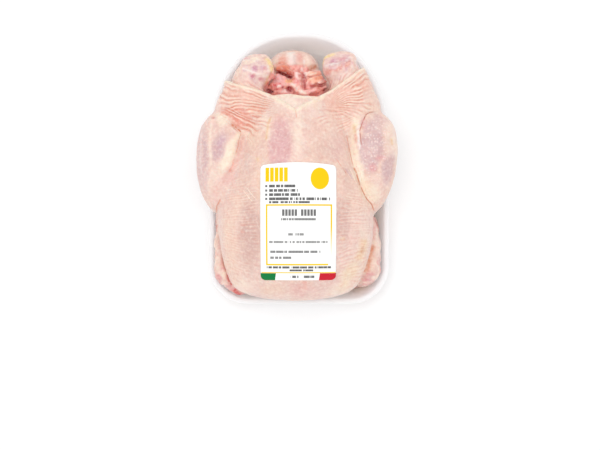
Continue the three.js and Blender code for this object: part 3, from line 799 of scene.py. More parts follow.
def uneven(p, height, size, seed, grain=rough_noise):
    """Noise about zero, of this height from lowest to highest."""
    return height * (grain(p, size, seed) - 0.5)


def low_relief(p):
    """Broad unevenness, looser skin on the wings and ragged flesh in the vent."""
    relief = uneven(p, 1.1, 22, 21) + uneven(p, 1.0, 7, 22)
    loose = uneven(p, 2.6, 9, 28) + uneven(p, 0.9, 3.4, 29, noise)
    ragged = uneven(p, 2.6, 6, 24) + uneven(p, 1.1, 2.6, 27, noise)
    return relief + on_wings(p) * loose + in_vent(p) * ragged


# ---- the bird's colours, vertex by vertex --------------------------------------------------------

ROSE_CREAM = tone(243, 211, 199)
PEACH = tone(246, 211, 189)
CREAM = tone(253, 232, 215)
FAT = tone(253, 235, 213)
BUTTER = tone(250, 225, 192)
WHITE = tone(254, 243, 236)
MAUVE = tone(231, 182, 182)
LILAC = tone(228, 195, 191)
LAVENDER = tone(216, 174, 188)
GREY = tone(216, 180, 182)
ROSE = tone(238, 188, 180)
PINK = tone(230, 158, 160)
DUSK = tone(220, 182, 172)
BAND = tone(244, 196, 178)
SALMON = tone(236, 154, 134)
RUST = tone(210, 124, 88)
BRICK = tone(196, 96, 80)
AMBER = tone(240, 192, 116)
LEMON = tone(252, 222, 150)
GRISTLE = tone(242, 210, 202)
ROSY_FLESH = tone(236, 168, 160)
APRICOT = tone(240, 176, 144)
OCHRE = tone(204, 126, 92)
BLOOD = tone(205, 50, 58)
CRIMSON = tone(140, 26, 42)
PLUM = tone(150, 56, 70)
GARNET = tone(168, 24, 44)
ORCHID = tone(212, 142, 168)
SCARLET = tone(214, 48, 50)

DEPTH = np.array([0.91, 0.915, 0.92])             # what the whole skin's colour is multiplied by
VENT_LIFT = np.array([0.2, 0.13, 0.12])           # and what is added to that in the vent

# Soft patches: colour, strength, middle on the plan, half sizes, turn, share that fades.
PATCHES = [
    # breast, left to right
    (DUSK, 0.95, (-41, -55), (14, 46), 0, 0.7),
    (DUSK, 0.45, (-45, -6), (10, 29), 0, 0.9),
    (PEACH, 0.55, (-59, -63), (8, 39), 6, 0.8),
    (PEACH, 0.6, (-38, 22), (9, 20), 0, 0.8),
    (CREAM, 0.75, (-27, 33), (5, 17), 0, 0.8),
    (CREAM, 0.75, (-48, -104), (14, 11), -30, 0.8),
    (ROSE, 0.7, (1, -104), (11, 12), 0, 0.8),
    (PEACH, 0.6, (-22, -106), (16, 8), 0, 0.8),
    (CREAM, 0.7, (33, -106), (17, 10), 15, 0.8),
    (BUTTER, 0.75, (43, -93), (8, 22), -24, 0.8),
    (DUSK, 0.85, (37, -47), (9, 30), 0, 0.7),
    (DUSK, 0.4, (40, -12), (8, 25), 0, 0.9),
    (CREAM, 0.6, (55, -66), (6, 26), -8, 0.9),
    (MAUVE, 0.95, (-16, 14), (12, 31), 0, 0.4),
    (ROSE, 0.35, (-15, 38), (9, 12), 0, 0.8),
    (CREAM, 0.8, (-1, 27), (6, 30), 0, 0.7),
    (ROSE, 0.3, (15, 31), (12, 10), 0, 0.9),
    (MAUVE, 0.35, (34, 19), (12, 20), 0, 0.9),
    (DUSK, 0.35, (19, 13), (15, 13), 0, 0.9),
    # left leg
    (LILAC, 0.95, (-84, 8), (9, 40), 0, 0.6),
    (GREY, 0.95, (-69, 16), (9.5, 20), -22, 0.7),
    (LAVENDER, 0.6, (-66, 20), (5, 9), -24, 0.8),
    (FAT, 0.9, (-65, 40), (9, 8), -20, 0.6),
    (FAT, 0.95, (-60, 9), (5.5, 24), -24, 0.5),
    (FAT, 0.7, (-52, 25), (4, 7), -20, 0.7),
    (ROSE, 0.7, (-61, -12), (6, 9), -30, 0.8),
    (ROSE, 0.4, (-68, -22), (5, 8), -20, 0.9),
    (CREAM, 0.5, (-75, -12), (7, 15), -14, 0.9),
    # right leg
    (FAT, 0.9, (48, 36), (7, 13), -6, 0.7),
    (FAT, 0.95, (49, 5), (5.5, 34), 14, 0.5),
    (BUTTER, 0.6, (57, -20), (8, 11), 20, 0.8),
    (FAT, 0.7, (63, -24), (11, 11), 20, 0.8),
    (CREAM, 0.7, (81, 22), (8, 30), 6, 0.7),
    (GREY, 0.85, (62, 18), (12.5, 30), -5, 0.4),
    (LILAC, 0.75, (69, 38), (9, 10), 0, 0.7),
    (MAUVE, 0.7, (56, 37), (5, 7), 0, 0.8),
    (GREY, 0.85, (76, -2), (7, 18), -10, 0.6),
    (PINK, 0.6, (69, 8), (6, 4), -10, 0.7),
    (PINK, 0.65, (62, -2), (5, 5), 0, 0.7),
    # the bands of skin over the legs, the pocket at the left leg, and the flap between the bands
    (BAND, 0.95, (-48, 58), (30, 16), -14, 0.4),
    (BAND, 0.9, (42, 63), (28, 19), 28, 0.45),
    (CREAM, 0.85, (-9, 54), (17, 8), -8, 0.7),
    (CREAM, 0.7, (11, 50), (14, 5), 10, 0.8),
    (SALMON, 0.95, (-54, 45), (16, 8), -14, 0.6),
    (SALMON, 0.75, (-46, 38), (13, 8), -20, 0.6),
    (SALMON, 0.4, (-64, 48), (7, 6), -40, 0.8),
    (SALMON, 0.35, (-37, 49), (10, 5), -10, 0.8),
    # wings
    (ROSE, 0.5, (-70, -92), (7, 14), 0, 0.9),
    (PINK, 0.7, (-64, -103), (9, 7), -30, 0.7),
    (CREAM, 0.5, (68, -66), (5, 20), 0, 0.9),
    (PINK, 0.6, (61, -97), (10, 8), 0, 0.8),
    (LILAC, 0.6, (66, -97), (8, 8), 0, 0.8),
    # under the legs' cut ends
    (ROSE, 0.7, (-41, 68), (14, 6), -12, 0.8),
    (CREAM, 0.6, (33, 74), (12, 6), 25, 0.8),
    # tail
    (BAND, 0.5, (-6, 94), (23, 12), 0, 0.7),
    (SALMON, 0.6, (-14, 95), (6, 7), 0, 0.8),
    (SALMON, 0.9, (-15, 90), (9, 3.4), -6, 0.7),
    (CREAM, 0.8, (-21, 94), (4, 6), 10, 0.8),
    (SALMON, 0.5, (1, 97), (3.4, 6), 20, 0.8),
    (CREAM, 0.8, (8, 93), (5, 8), 0, 0.8),
    (PEACH, 0.7, (12, 88), (5, 6), 0, 0.8),
]
# Streaks on what faces up: colour, strength, half width, path on the plan.
STREAKS = [
    # left leg
    (BLOOD, 0.5, 1.0, [(-76, 42), (-73, 41)]),
    (CREAM, 0.8, 1.5, [(-75, 41), (-76, 22), (-75, -2)]),
    (GREY, 0.8, 1.1, [(-80.5, 22), (-80, -2)]),
    (WHITE, 0.4, 1.0, [(-84, 30), (-84.5, 10), (-83, -8)]),
    (BLOOD, 0.4, 1.0, [(-59.5, -3), (-57.5, -5.5)]),
    # breast
    (AMBER, 0.5, 1.1, [(-24, 41), (-27, 30), (-28, 21)]),
    (AMBER, 0.45, 1.1, [(-35, 7), (-34, 3)]),
    (SALMON, 0.3, 2.4, [(-48, 26), (-50, 14), (-54, 2), (-58, -8)]),
    (PEACH, 0.7, 1.3, [(-34, -4), (-34, -29)]),
    (AMBER, 0.45, 3.4, [(56, -62), (54, -72), (50, -81)]),
    (OCHRE, 0.45, 1.5, [(54.6, -68), (53.4, -75)]),
    (AMBER, 0.4, 1.2, [(35, -62), (39, -62)]),
    (SALMON, 0.45, 1.2, [(-50, -50), (-45, -50)]),
    (SALMON, 0.35, 1.0, [(-50, -56), (-46, -57)]),
    (SALMON, 0.35, 1.8, [(4, -97), (6, -106)]),
    # right leg
    # A pale streak on the raised rim beside the leg's fold, with a painted highlight on it.
    (WHITE, 0.85, 1.1, [(51, 36), (50.2, 29), (51, 21), (52, 13)]),
    (AMBER, 0.45, 1.3, [(47, 36), (47.5, 28)]),
    (SALMON, 0.5, 1.1, [(47.5, 28), (49, 19)]),
    (AMBER, 0.5, 1.2, [(79, 24), (80, 18)]),
    # wings
    (BLOOD, 0.45, 1.0, [(59.5, -88), (57, -92)]),
    # tail
    # A pale streak along the tail's ridge, with a painted highlight on it.
    (WHITE, 0.8, 3.4, [(-7, 102), (-6.5, 88)]),
    (LILAC, 0.6, 1.2, [(-4, 99), (-3.4, 90)]),
    (WHITE, 0.7, 0.9, [(4.6, 95), (4.4, 86)]),
    (ROSE, 0.6, 2.4, [(0, 100), (0.5, 93)]),
    (OCHRE, 0.9, 1.9, [(9, 84.5), (12, 86.8), (15.5, 89.5)]),
    (RUST, 0.5, 1.0, [(-21, 91), (-12, 89.5), (-8, 88.5)]),
]
# Streaks that follow the flanks: colour, strength, half width, path through space.
FLANK_STREAKS = [
    # Painted shade on the flesh in the gap between the left flank and the tray.
    (BRICK, 0.95, 2.2, [(-74, -36, 37), (-74, -47, 38.5), (-73, -57, 39)]),
    # Painted shade, reddish with light off the flesh, in the gap between the right wing and the tray and
    # along the wing's outer edge.
    (BRICK, 0.8, 3.0, [(65, -40, 38), (70, -52, 31), (73, -63, 28)]),
    (BRICK, 0.5, 1.6, [(73, -66, 29), (73.5, -82, 29)]),
    (OCHRE, 0.9, 1.8, [(-67, -75, 43), (-65, -85, 43), (-62.5, -93, 42.5)]),
    (BLOOD, 0.85, 2.0, [(-62.5, -92, 42.5), (-61, -99, 40.5), (-58.5, -103.5, 38)]),
    (SCARLET, 0.9, 3.0, [(-58, -107, 35), (-55, -109.6, 33.5), (-52, -112, 31)]),
    (ROSE, 0.8, 1.8, [(65.5, -42, 35), (67, -52, 37.5), (65.5, -64, 40)]),
    (OCHRE, 0.95, 1.7, [(64.5, -69, 40.6), (63, -76, 40.4)]),
    (OCHRE, 0.95, 1.7, [(61.6, -80, 40), (59.4, -87, 40.6)]),
    (APRICOT, 0.9, 2.4, [(64.5, -68, 40.6), (61.5, -80, 40), (57.5, -93, 40)]),
    # The wing's dark red underside below the breast, darkened further with painted shade.
    (CRIMSON, 0.95, 4.4, [(42, -110, 17), (48, -110, 15), (53, -108.5, 14)]),
    (SALMON, 0.6, 1.4, [(-12, -113, 44), (1, -113.3, 44), (26, -111, 44)]),
    # Painted shade in the grooves where the wings meet the breast.
    (DUSK, 0.7, 1.6, [(-70.5, -58, 42), (-69, -70, 43), (-66, -84, 44)]),
    (DUSK, 0.7, 1.6, [(57, -92, 44), (51, -101, 42)]),
]
# Fine lines, drawn by the shader: colour, strength, half width, path on the plan.
THREADS = [
    (RUST, 0.95, 0.8, [(-58.5, 36), (-54.5, 33.8), (-52, 31.8), (-49.4, 28.8)]),
    (RUST, 0.5, 0.5, [(-49.4, 28.8), (-51.4, 22), (-51.8, 17), (-54, 10)]),
    (SALMON, 0.5, 0.7, [(-55.4, 6), (-56.6, 0), (-60, -6)]),
    (RUST, 0.65, 0.8, [(-67, -28), (-70.5, -34.5), (-71.5, -42)]),
    (BRICK, 0.75, 0.5,
     [(65.6, 46.7), (61, 46.2), (57.5, 44.2), (54.3, 37.4), (52, 30.5), (52.6, 23), (53.3, 17)]),
    (RUST, 0.65, 0.45, [(40.5, 27), (43, 15), (44.7, 6), (46.4, -1)]),
    (RUST, 0.9, 0.7, [(46.4, -1), (48.6, -5.2), (50.3, -11.2), (52.4, -17.2)]),
    (RUST, 0.85, 0.55, [(52.4, -17.2), (55, -23), (58.4, -28.7), (62.2, -32.5), (65, -39)]),
    (CREAM, 0.8, 0.4, [(43, -2), (46, -9), (49, -15.5)]),
    (GREY, 0.8, 0.5, [(39.5, -2), (43, -8), (46, -12)]),
    (BRICK, 0.7, 0.4, [(37, -2), (40, -7)]),
    (SALMON, 0.7, 0.4, [(32, 5), (36, -1)]),
    (CREAM, 0.8, 0.45, [(-47, -21), (-39, -31)]),
    (CREAM, 0.7, 0.45, [(-44, -19), (-36, -29)]),
    (CREAM, 0.7, 0.45, [(-47, 28), (-40, 20)]),
    (SALMON, 0.6, 0.5, [(-3, 47), (-2, 40)]),
    # Painted shade along the groove between the left wing and the breast.
    (DUSK, 0.7, 0.5, [(-66, -80), (-63, -88), (-60, -95), (-57, -103)]),
]
THREAD_REACH = 3.0           # the farthest from a line that its distance is kept

# On the cut ends of the legs: gristle, marrow, the ring of yellow skin, the white rim of the joint.
END_PATCHES = [
    (GRISTLE, 0.8, (-37, 82), (14, 15), 0, 0.25),
    (FAT, 0.85, (-40, 91), (10, 5), 16, 0.7),
    (ORCHID, 0.85, (-38.2, 83.8), (4, 4.4), -20, 0.8),
    (ORCHID, 0.85, (-31.5, 84.8), (4, 3.6), 10, 0.8),
    (PINK, 0.6, (-28.5, 84), (2.4, 3), 0, 0.8),
    (DUSK, 0.8, (-48, 73), (5, 6), 0, 0.7),
    (tone(206, 96, 126), 0.75, (-40.3, 76.6), (4, 5), -16, 0.9),
    (PINK, 0.8, (-33, 75), (3.6, 3), 0, 0.8),
    (LAVENDER, 0.7, (-38.5, 71.5), (2.4, 3), 0, 0.8),
    (GRISTLE, 0.8, (35, 86), (15, 14), 0, 0.25),
    (MAUVE, 0.95, (33.5, 90.5), (11, 5), 18, 0.5),
    (ORCHID, 0.7, (30, 90.5), (5, 3), 20, 0.8),
    (PINK, 0.6, (37.5, 92), (6, 2), 20, 0.8),
    (LAVENDER, 0.5, (42, 93), (3, 3), 0, 0.8),
    (LILAC, 0.3, (33, 75), (6, 5), 20, 0.8),
    (ROSE, 0.5, (-41, 70), (12, 5), -12, 0.8),
]
END_STREAKS = [
    (WHITE, 0.8, 1.1, [(-49.8, 85.3), (-43.8, 81.9), (-36.9, 79.3), (-29.2, 77.6), (-24.1, 80.2)]),
    (LEMON, 0.9, 1.6, [(-29, 94), (-25.8, 89.6), (-23.2, 85.3), (-23.2, 81), (-25.8, 75.9), (-27.5, 69)]),
    (APRICOT, 0.8, 1.4, [(-31, 93), (-28, 89)]),
    (AMBER, 0.7, 1.2, [(-24, 80), (-25.4, 76.4)]),
    (AMBER, 0.6, 1.4, [(-27, 74), (-27.5, 70)]),
    (SALMON, 0.6, 1.0, [(-55.8, 75), (-49.8, 82.8)]),
    (SALMON, 0.6, 1.6, [(-30, 70), (-29, 66)]),
    (LILAC, 0.95, 1.2,
     [(21.3, 85.3), (26.5, 86.2), (29.9, 87.9), (34.2, 87.5), (35.9, 90.5), (44.5, 90.5)]),
    (WHITE, 0.7, 0.7, [(21.3, 85.6), (26.5, 86.5), (29.9, 88.2), (34.2, 87.8)]),
    (BLOOD, 0.5, 0.9,
     [(22.2, 81.5), (27.3, 81.9), (31.6, 83.2), (35.1, 83.6), (37.6, 86.6), (40.2, 88.8), (45.4, 91.3)]),
    (SALMON, 0.7, 2.0, [(22.5, 80.2), (30, 81.6), (37, 84.6), (45, 89)]),
    (BLOOD, 0.6, 1.0, [(30.5, 83), (32, 83.3)]),
    (BLOOD, 0.7, 1.1, [(34.6, 83.4), (36, 84.4)]),
    (BLOOD, 0.5, 0.9, [(37, 86), (37.8, 87)]),
    (LEMON, 0.95, 1.1, [(19.6, 85), (20.4, 90.5), (21.3, 93.9), (25.6, 95.6), (31.6, 97.4)]),
    (RUST, 0.8, 1.0, [(20, 81.9), (23, 75), (27.3, 67.3)]),
    (WHITE, 0.5, 1.6, [(41, 81), (44, 79)]),
]
# What shows inside the vent.
VENT_PATCHES = [
    # Painted shade under the overhang of the tail's dome.
    (tone(222, 142, 112), 0.95, (-14, 86), (11, 6), -20, 0.5),
    (tone(176, 80, 62), 0.9, (-10.5, 82.8), (8.5, 4), -26, 0.8),
    (tone(208, 134, 124), 0.95, (1, 81), (4.6, 9), 0, 0.5),
    (tone(238, 196, 190), 0.95, (-2.5, 79.5), (3.2, 4), 0, 0.6),
    (tone(226, 150, 150), 0.9, (-1.8, 73.8), (3.4, 4), 0, 0.6),
    (tone(226, 178, 180), 0.95, (-18, 76), (6, 5), 0, 0.6),
    (WHITE, 0.7, (-21.5, 81.5), (2.6, 2.6), 0, 0.7),
    (tone(244, 184, 130), 0.95, (-9, 75), (3.8, 2.6), 0, 0.6),
    (tone(242, 198, 184), 0.9, (-11.5, 70.5), (3.4, 3.4), 0, 0.7),
    (PINK, 0.9, (-18, 70.3), (6, 3), 0, 0.6),
    (tone(242, 196, 190), 0.9, (-17, 66.3), (6, 1.6), 0, 0.6),
    (tone(248, 218, 204), 0.95, (8, 81), (4.4, 4), 0, 0.6),
    (tone(246, 192, 164), 0.95, (14, 78), (8, 7), 20, 0.4),
    (APRICOT, 0.7, (17, 77), (5, 2.4), 20, 0.7),
    (BRICK, 0.7, (18, 70), (6.5, 3), 16, 0.7),
    (APRICOT, 0.6, (15, 70.6), (3, 1.6), 16, 0.8),
    (OCHRE, 0.95, (12, 86.6), (4.4, 3), 35, 0.5),
    (tone(242, 196, 190), 0.9, (10, 65.6), (6, 2), 10, 0.6),
    # Painted shadow in the vent's lower left corner.
    (PLUM, 0.95, (-25, 66), (5, 3), -10, 0.7),
    (GARNET, 0.9, (-8, 68), (4, 3), -10, 0.7),
    # Painted shadow in the vent's lower right corner.
    (PLUM, 0.9, (24.5, 67), (4.4, 4), 0, 0.7),
]
VENT_STREAKS = [
    # Along the slits: the flesh's dark red, deepened with painted shade.
    (GARNET, 1.0, 1.5, [(-19.5, 84.5), (-15, 81.5), (-10, 79.5), (-6, 77.8)]),
    (BRICK, 0.8, 1.0, [(-5, 83), (-4.8, 76)]),
    (GARNET, 0.85, 0.8, [(3.8, 83), (4.4, 76), (5, 67.5)]),
    (tone(252, 228, 212), 0.95, 1.7, [(-7.4, 72.5), (-3, 68.8), (2.6, 64.4), (7, 63)]),
    (WHITE, 0.8, 1.0, [(15, 72.4), (18.5, 73.8), (22.5, 74.4)]),
    (WHITE, 0.6, 1.0, [(6, 84), (6.4, 77)]),
    (WHITE, 0.5, 0.8, [(9, 79.5), (16, 82)]),
    # A painted glint on the wet flesh.
    (WHITE, 0.7, 0.9, [(-20, 69.5), (-16, 70.5)]),
    (BLOOD, 0.95, 0.9, [(-22.5, 71.6), (-20.5, 70.6)]),
    (BLOOD, 0.95, 0.9, [(-17, 72.5), (-15.5, 71.4)]),
    (CRIMSON, 0.8, 0.8, [(-15.6, 69.4), (-14, 68.4)]),
    (BLOOD, 0.8, 0.8, [(-20, 68.2), (-18.4, 67.8)]),
    (BLOOD, 0.5, 0.9, [(-1.8, 76), (-1.2, 72)]),
    (RUST, 0.6, 1.0, [(20, 89), (23, 82), (26, 70)]),
]


def laid(under, over, share):
    """A colour laid over others with a share from 0 to 1 at each vertex."""
    share = np.clip(share, 0, 1)[:, None]
    return under * (1 - share) + np.array(over) * share


def blotted(p, colour, over, strength, size, seed, low, high):
    """A colour laid on in soft blots, where smooth noise rises from low to high."""
    return laid(colour, over, strength * smooth_step(noise(p, size, seed), low, high))


def brushed(p, colour, patches, streaks, where=1.0):
    """Patches and then streaks laid on in their order."""
    for over, strength, at, size, turn, edge in patches:
        colour = laid(colour, over, where * strength * plan_spot(p, at, size, turn, edge))
    for over, strength, width, path in streaks:
        colour = laid(colour, over, where * strength * bell(p, path, width, taper=0.08))
    return colour


WING_ENDS_Y = -72.0


def paint(p, up):
    """Colours of the skin: a base mottled by noise, then patches and streaks with wavering edges,
    then what differs on wings, cut edges, cut ends and in the vent. Streaks laid from above fade
    where the skin stands steep, so that they don't run down it."""
    broad = [value + uneven(p, 5, 9, 31 + i, noise) for i, value in enumerate(p)]
    slight = [value + uneven(p, 1.6, 5, 61 + i, noise) for i, value in enumerate(p)]
    colour = np.tile(ROSE_CREAM, (len(p[0]), 1))
    colour = laid(colour, PEACH, 0.5 * smooth_step(rough_noise(p, 30, 34), 0.4, 0.7))
    colour = laid(colour, MAUVE, 0.2 * smooth_step(rough_noise(p, 18, 37), 0.5, 0.75))
    colour = brushed(broad, colour, PATCHES, [])
    mottle = noise(p, 5.2, 71) * 0.6 + noise(p, 2.6, 72) * 0.4
    colour = laid(colour, DUSK, 0.22 * smooth_step(mottle, 0.5, 0.85))
    colour = laid(colour, CREAM, 0.2 * smooth_step(1 - mottle, 0.5, 0.85))
    wings = on_wings(p)
    wing_ends = wings * smooth_step(WING_ENDS_Y - p[1], 0, 18)
    colour = blotted(p, colour, PINK, 0.75 * wing_ends, 3.2, 46, 0.35, 0.75)
    colour = blotted(p, colour, CREAM, 0.8 * wings, 4.4, 47, 0.55, 0.8)
    colour = blotted(p, colour, FAT, 0.9 * on_rim(slight), 4, 45, 0.0, 0.4)
    colour = brushed(slight, colour, [], STREAKS, smooth_step(up, 0.1, 0.4))
    colour = brushed(slight, colour, [], FLANK_STREAKS)
    ends = on_ends(p)
    colour = brushed(slight, colour, END_PATCHES, END_STREAKS, ends)
    colour = blotted(p, colour, ORCHID, 0.35 * ends, 2.4, 48, 0.5, 0.8)
    colour = blotted(p, colour, WHITE, 0.4 * ends, 2.4, 51, 0.55, 0.85)
    inside = in_vent(p)
    colour = laid(colour, ROSY_FLESH, 0.85 * inside)
    colour = brushed(slight, colour, VENT_PATCHES, VENT_STREAKS, inside)
    ragged = noise(p, 2.4, 49)
    colour = laid(colour, BRICK, 0.4 * inside * smooth_step(ragged, 0.6, 0.85))
    colour = laid(colour, WHITE, 0.45 * inside * smooth_step(1 - ragged, 0.6, 0.85))
    colour = colour * (DEPTH + VENT_LIFT * inside[:, None])
    # The slits get garnet: the flesh's dark red, deepened with painted shade.
    return np.minimum(laid(colour, GARNET, 0.9 * inside * in_slits(p)), 1)


def threads(p, up):
    """The nearest fine line: signed distance to it, strength and half width; and its colour. The
    signed distance passes through zero under the line, so the shader can draw it thin."""
    nearest = np.full(len(p[0]), THREAD_REACH)
    shape = np.zeros((len(p[0]), 3))
    shape[:, 0] = THREAD_REACH
    shape[:, 2] = 1
    colours = np.tile(RUST, (len(p[0]), 1))
    for colour, strength, half_width, path in THREADS:
        distance, share, right = path_at(p, path)
        closer = distance < nearest
        strong = strength * between_ends(share, -0.02, 0.1) * smooth_step(THREAD_REACH - distance, 0, 1)
        strong = strong * smooth_step(up, 0.1, 0.4)
        values = np.stack([distance * right, strong, np.full(len(p[0]), half_width)], axis=1)
        shape[closer] = values[closer]
        colours[closer] = colour
        nearest = np.where(closer, distance, nearest)
    return shape, colours


def make_piece(name, vertices, faces, material, body="root"):
    """A mesh object at the origin, from vertices in millimetres round the tray's middle."""
    mesh = bpy.data.meshes.new(name)
    mesh.vertices.add(len(vertices))
    placed = vertices * MM + (MIDDLE_X, 0, 0)
    mesh.vertices.foreach_set("co", placed.ravel())
    mesh.loops.add(faces.size)
    mesh.loops.foreach_set("vertex_index", faces.ravel().astype(np.int32))
    mesh.polygons.add(len(faces))
    mesh.polygons.foreach_set("loop_start", np.arange(0, faces.size, faces.shape[1], dtype=np.int32))
    mesh.polygons.foreach_set("use_smooth", np.ones(len(faces), bool))
    mesh.update(calc_edges=True)
    mesh.validate()
    mesh.materials.append(material)
    piece = bpy.data.objects.new(name, mesh)
    bpy.context.scene.collection.objects.link(piece)
    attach(piece, body)
    return piece


def add_colour(piece, name, colour):
    """Three numbers at each vertex, kept as a colour that a material can read."""
    layer = piece.data.color_attributes.new(name, "FLOAT_COLOR", "POINT")
    full = np.ones((len(colour), 4), np.float32)
    full[:, :3] = colour
    layer.data.foreach_set("color", full.ravel())


# ---- chicken -------------------------------------------------------------------------------------

# Sizes of the skin's grain, as cells to the metre.
FINE_GRAIN = 420.0
BROAD_GRAIN = 230.0
FOLLICLES = 400.0
SHADE = solid_tone(238, 210, 204)
GLEAM = solid_tone(255, 240, 226)
FOLLICLE_TONE = solid_tone(252, 230, 226)
CREASE_TONE = solid_tone(228, 142, 118)


def skin_material():
    """Damp poultry skin: painted colour, wrinkles, pores and mottling, and a thin wet coat. Each
    fan of wrinkles is |sin| of its phase, dark in its creases and pale on its ridges."""
    skin = Recipe("raw skin", subsurface_weight=0.25, subsurface_scale=0.003, coat_roughness=0.25,
                  subsurface_radius=(1.0, 0.45, 0.32), roughness=0.5, specular_ior_level=0.35)
    place = skin.place()
    colour = skin.attribute("colour")
    wet, follicles, _ = skin.channels(skin.attribute("masks"))
    fine = skin.noise(place, FINE_GRAIN, 4.0)
    broad = skin.noise(place, BROAD_GRAIN, 3.0)
    colour = skin.blend((broad - 0.48) * 1.2, colour, SHADE, "MULTIPLY")
    colour = skin.blend((fine - 0.5) * 1.5, colour, GLEAM)
    colour = skin.blend((0.47 - fine) * 1.6, colour, SHADE, "MULTIPLY")

    spread = {"Vector": place, "Scale": FOLLICLES, "Randomness": 0.75}
    dot = ((0.46 - skin.node("ShaderNodeTexVoronoi", {}, spread)) * 3.4).clamped()
    colour = skin.blend(dot * (follicles * 0.5 + 0.08), colour, FOLLICLE_TONE)
    height = fine * 0.2 + dot * (follicles * 0.5 + 0.25)
    for name in FANS:
        phase, strength, _ = skin.channels(skin.attribute(name))
        wave = phase.sine().absolute()
        # Creases are painted salmon and ridges cream: partly the skin's own tones, partly painted shade in
        # the creases and a painted highlight on the ridges.
        crease = ((0.4 - wave) * 3.0).clamped() * strength
        ridge = ((wave - 0.72) * 3.6).clamped() * strength
        colour = skin.blend(crease * 0.8, colour, CREASE_TONE)
        colour = skin.blend(ridge * 0.7, colour, CREAM + (1,))
        height = height + wave * strength * 0.6
    signed, strength, half_width = skin.channels(skin.attribute("threads"))
    line = (1.3 - signed.absolute() / half_width).clamped() * strength * ((fine - 0.28) * 5).clamped()
    colour = skin.blend(line, colour, skin.attribute("thread_colour"))
    height = height - line * 0.6
    skin.set("Base Color", colour)
    skin.set("Roughness", 0.56 - wet * 0.24 + (fine - 0.5) * 0.12)
    skin.set("Coat Weight", 0.08 + wet * 0.5)
    skin.set("Normal", skin.bump(height, 0.0005, 0.8))
    return skin.material


# The grid along x, y and z: from, to, and its spacing up to each place. It is finest at the vent.
GRID = [
    (-95.0, 92.0, [(92.0, 1.15)]),
    (-121.0, 110.0, [(33.0, 1.45), (86.0, 0.75), (110.0, 1.1)]),
    (2.0, 112.0, [(24.0, 2.0), (112.0, 1.2)]),
]
FOLLICLE_PATCHES = [(1.0, (65, 14), (14, 34), -8, 0.4), (0.3, (-80, 12), (10, 30), 4, 0.5)]


def make_chicken():
    """The wrapped field, moved along its normal by the low relief, with its colours and masks."""
    vertices, quads = wrap(bird, [grid_lines(*axis) for axis in GRID])
    p = onto_skin(bird, vertices)
    slope = gradient(bird, p)
    steep = np.sqrt(sum(part ** 2 for part in slope)) + 1e-6
    relief = low_relief(p)
    fans = {}
    for name, shape in FANS.items():
        height, phase, strength = fan(p, **shape)
        relief = relief + height
        fans[name] = np.stack([phase, strength * calm(p), np.zeros(len(phase))], axis=1)
    relief = np.minimum(relief * calm(p), np.maximum(foam(p) - 0.05, 0))
    moved = [value + relief * part / steep for value, part in zip(p, slope)]
    chicken = make_piece("raw_chicken", np.stack(moved, axis=1), quads, skin_material())
    up = slope[2] / steep
    add_colour(chicken, "colour", paint(p, up))
    thread_shapes, thread_colours = threads(p, up)
    add_colour(chicken, "threads", thread_shapes)
    add_colour(chicken, "thread_colour", thread_colours)
    for name, values in fans.items():
        add_colour(chicken, name, values)
    wet = 0.3 + in_vent(p) * (0.6 - 0.9 * in_slits(p))
    follicles = sum(share * plan_spot(p, *spot) for share, *spot in FOLLICLE_PATCHES)
    add_colour(chicken, "masks", np.stack([wet, np.clip(follicles, 0, 1), np.zeros(len(wet))], axis=1))
    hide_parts("chicken")


# ---- tray ----------------------------------------------------------------------------------------

# The section: how far in from the outline, and how high. Rings past the ring inset shrink towards
# the middle of the tray.
RING_INSET = 24.0
MIDDLE_INSET = 60.0
TRAY_SECTION = [
    (MIDDLE_INSET, 0), (15, 0), (11.4, 1.6), (3.4, 25.4), (1, 27.6), (0, 28.2), (0, 29.3),
    (0.9, TRAY_HEIGHT), (3.6, TRAY_HEIGHT), (WALL_FROM, 29.2), (6.2, 25.6), (13.4, 7.9), (WALL_TO, 5),
    (19, TRAY_FLOOR), (MIDDLE_INSET, TRAY_FLOOR),
]
END_STEPS = 12
CORNER_STEPS = 24
SIDE_STEPS = 16
ARCH_STEPS = 45


def tray_outline():
    """Half the neck end, a corner arc, a straight side and half the superelliptic arch, mirrored."""
    corner_x = TRAY_HALF_WIDTH - TRAY_CORNER
    corner_y = -TRAY_HALF_LENGTH + TRAY_CORNER
    end_x = np.linspace(0, corner_x, END_STEPS)[:-1]
    turn = np.linspace(-np.pi / 2, 0, CORNER_STEPS)
    side_y = np.linspace(corner_y, ARCH_START, SIDE_STEPS)[1:]
    climb = np.linspace(0, np.pi / 2, ARCH_STEPS)[1:]
    half = np.concatenate([
        np.stack([end_x, np.full(len(end_x), -TRAY_HALF_LENGTH)], axis=1),
        np.stack([corner_x + TRAY_CORNER * np.cos(turn), corner_y + TRAY_CORNER * np.sin(turn)], axis=1),
        np.stack([np.full(len(side_y), TRAY_HALF_WIDTH), side_y], axis=1),
        np.stack([TRAY_HALF_WIDTH * np.maximum(np.cos(climb), 0) ** (2 / TRAY_ARCH_POWER),
                  ARCH_START + TRAY_ARCH * np.sin(climb) ** (2 / TRAY_ARCH_POWER)], axis=1),
    ])
    return np.concatenate([half, half[1:-1][::-1] * (-1, 1)])


def rounded(section, rounds=3):
    """Corner cutting: each round replaces a corner by two points a quarter of the way along."""
    points = np.array(section, float)
    for _ in range(rounds):
        first = points[:-1] * 0.75 + points[1:] * 0.25
        second = points[:-1] * 0.25 + points[1:] * 0.75
        inner = np.stack([first, second], axis=1).reshape(-1, 2)
        points = np.concatenate([points[:1], inner[1:-1], points[-1:]])
    return points


FOAM_WHITE = tone(232, 232, 235)
# Painted pink reflection of the bird on the tray's inside.
FOAM_REFLECTED_PINK = tone(255, 243, 238)
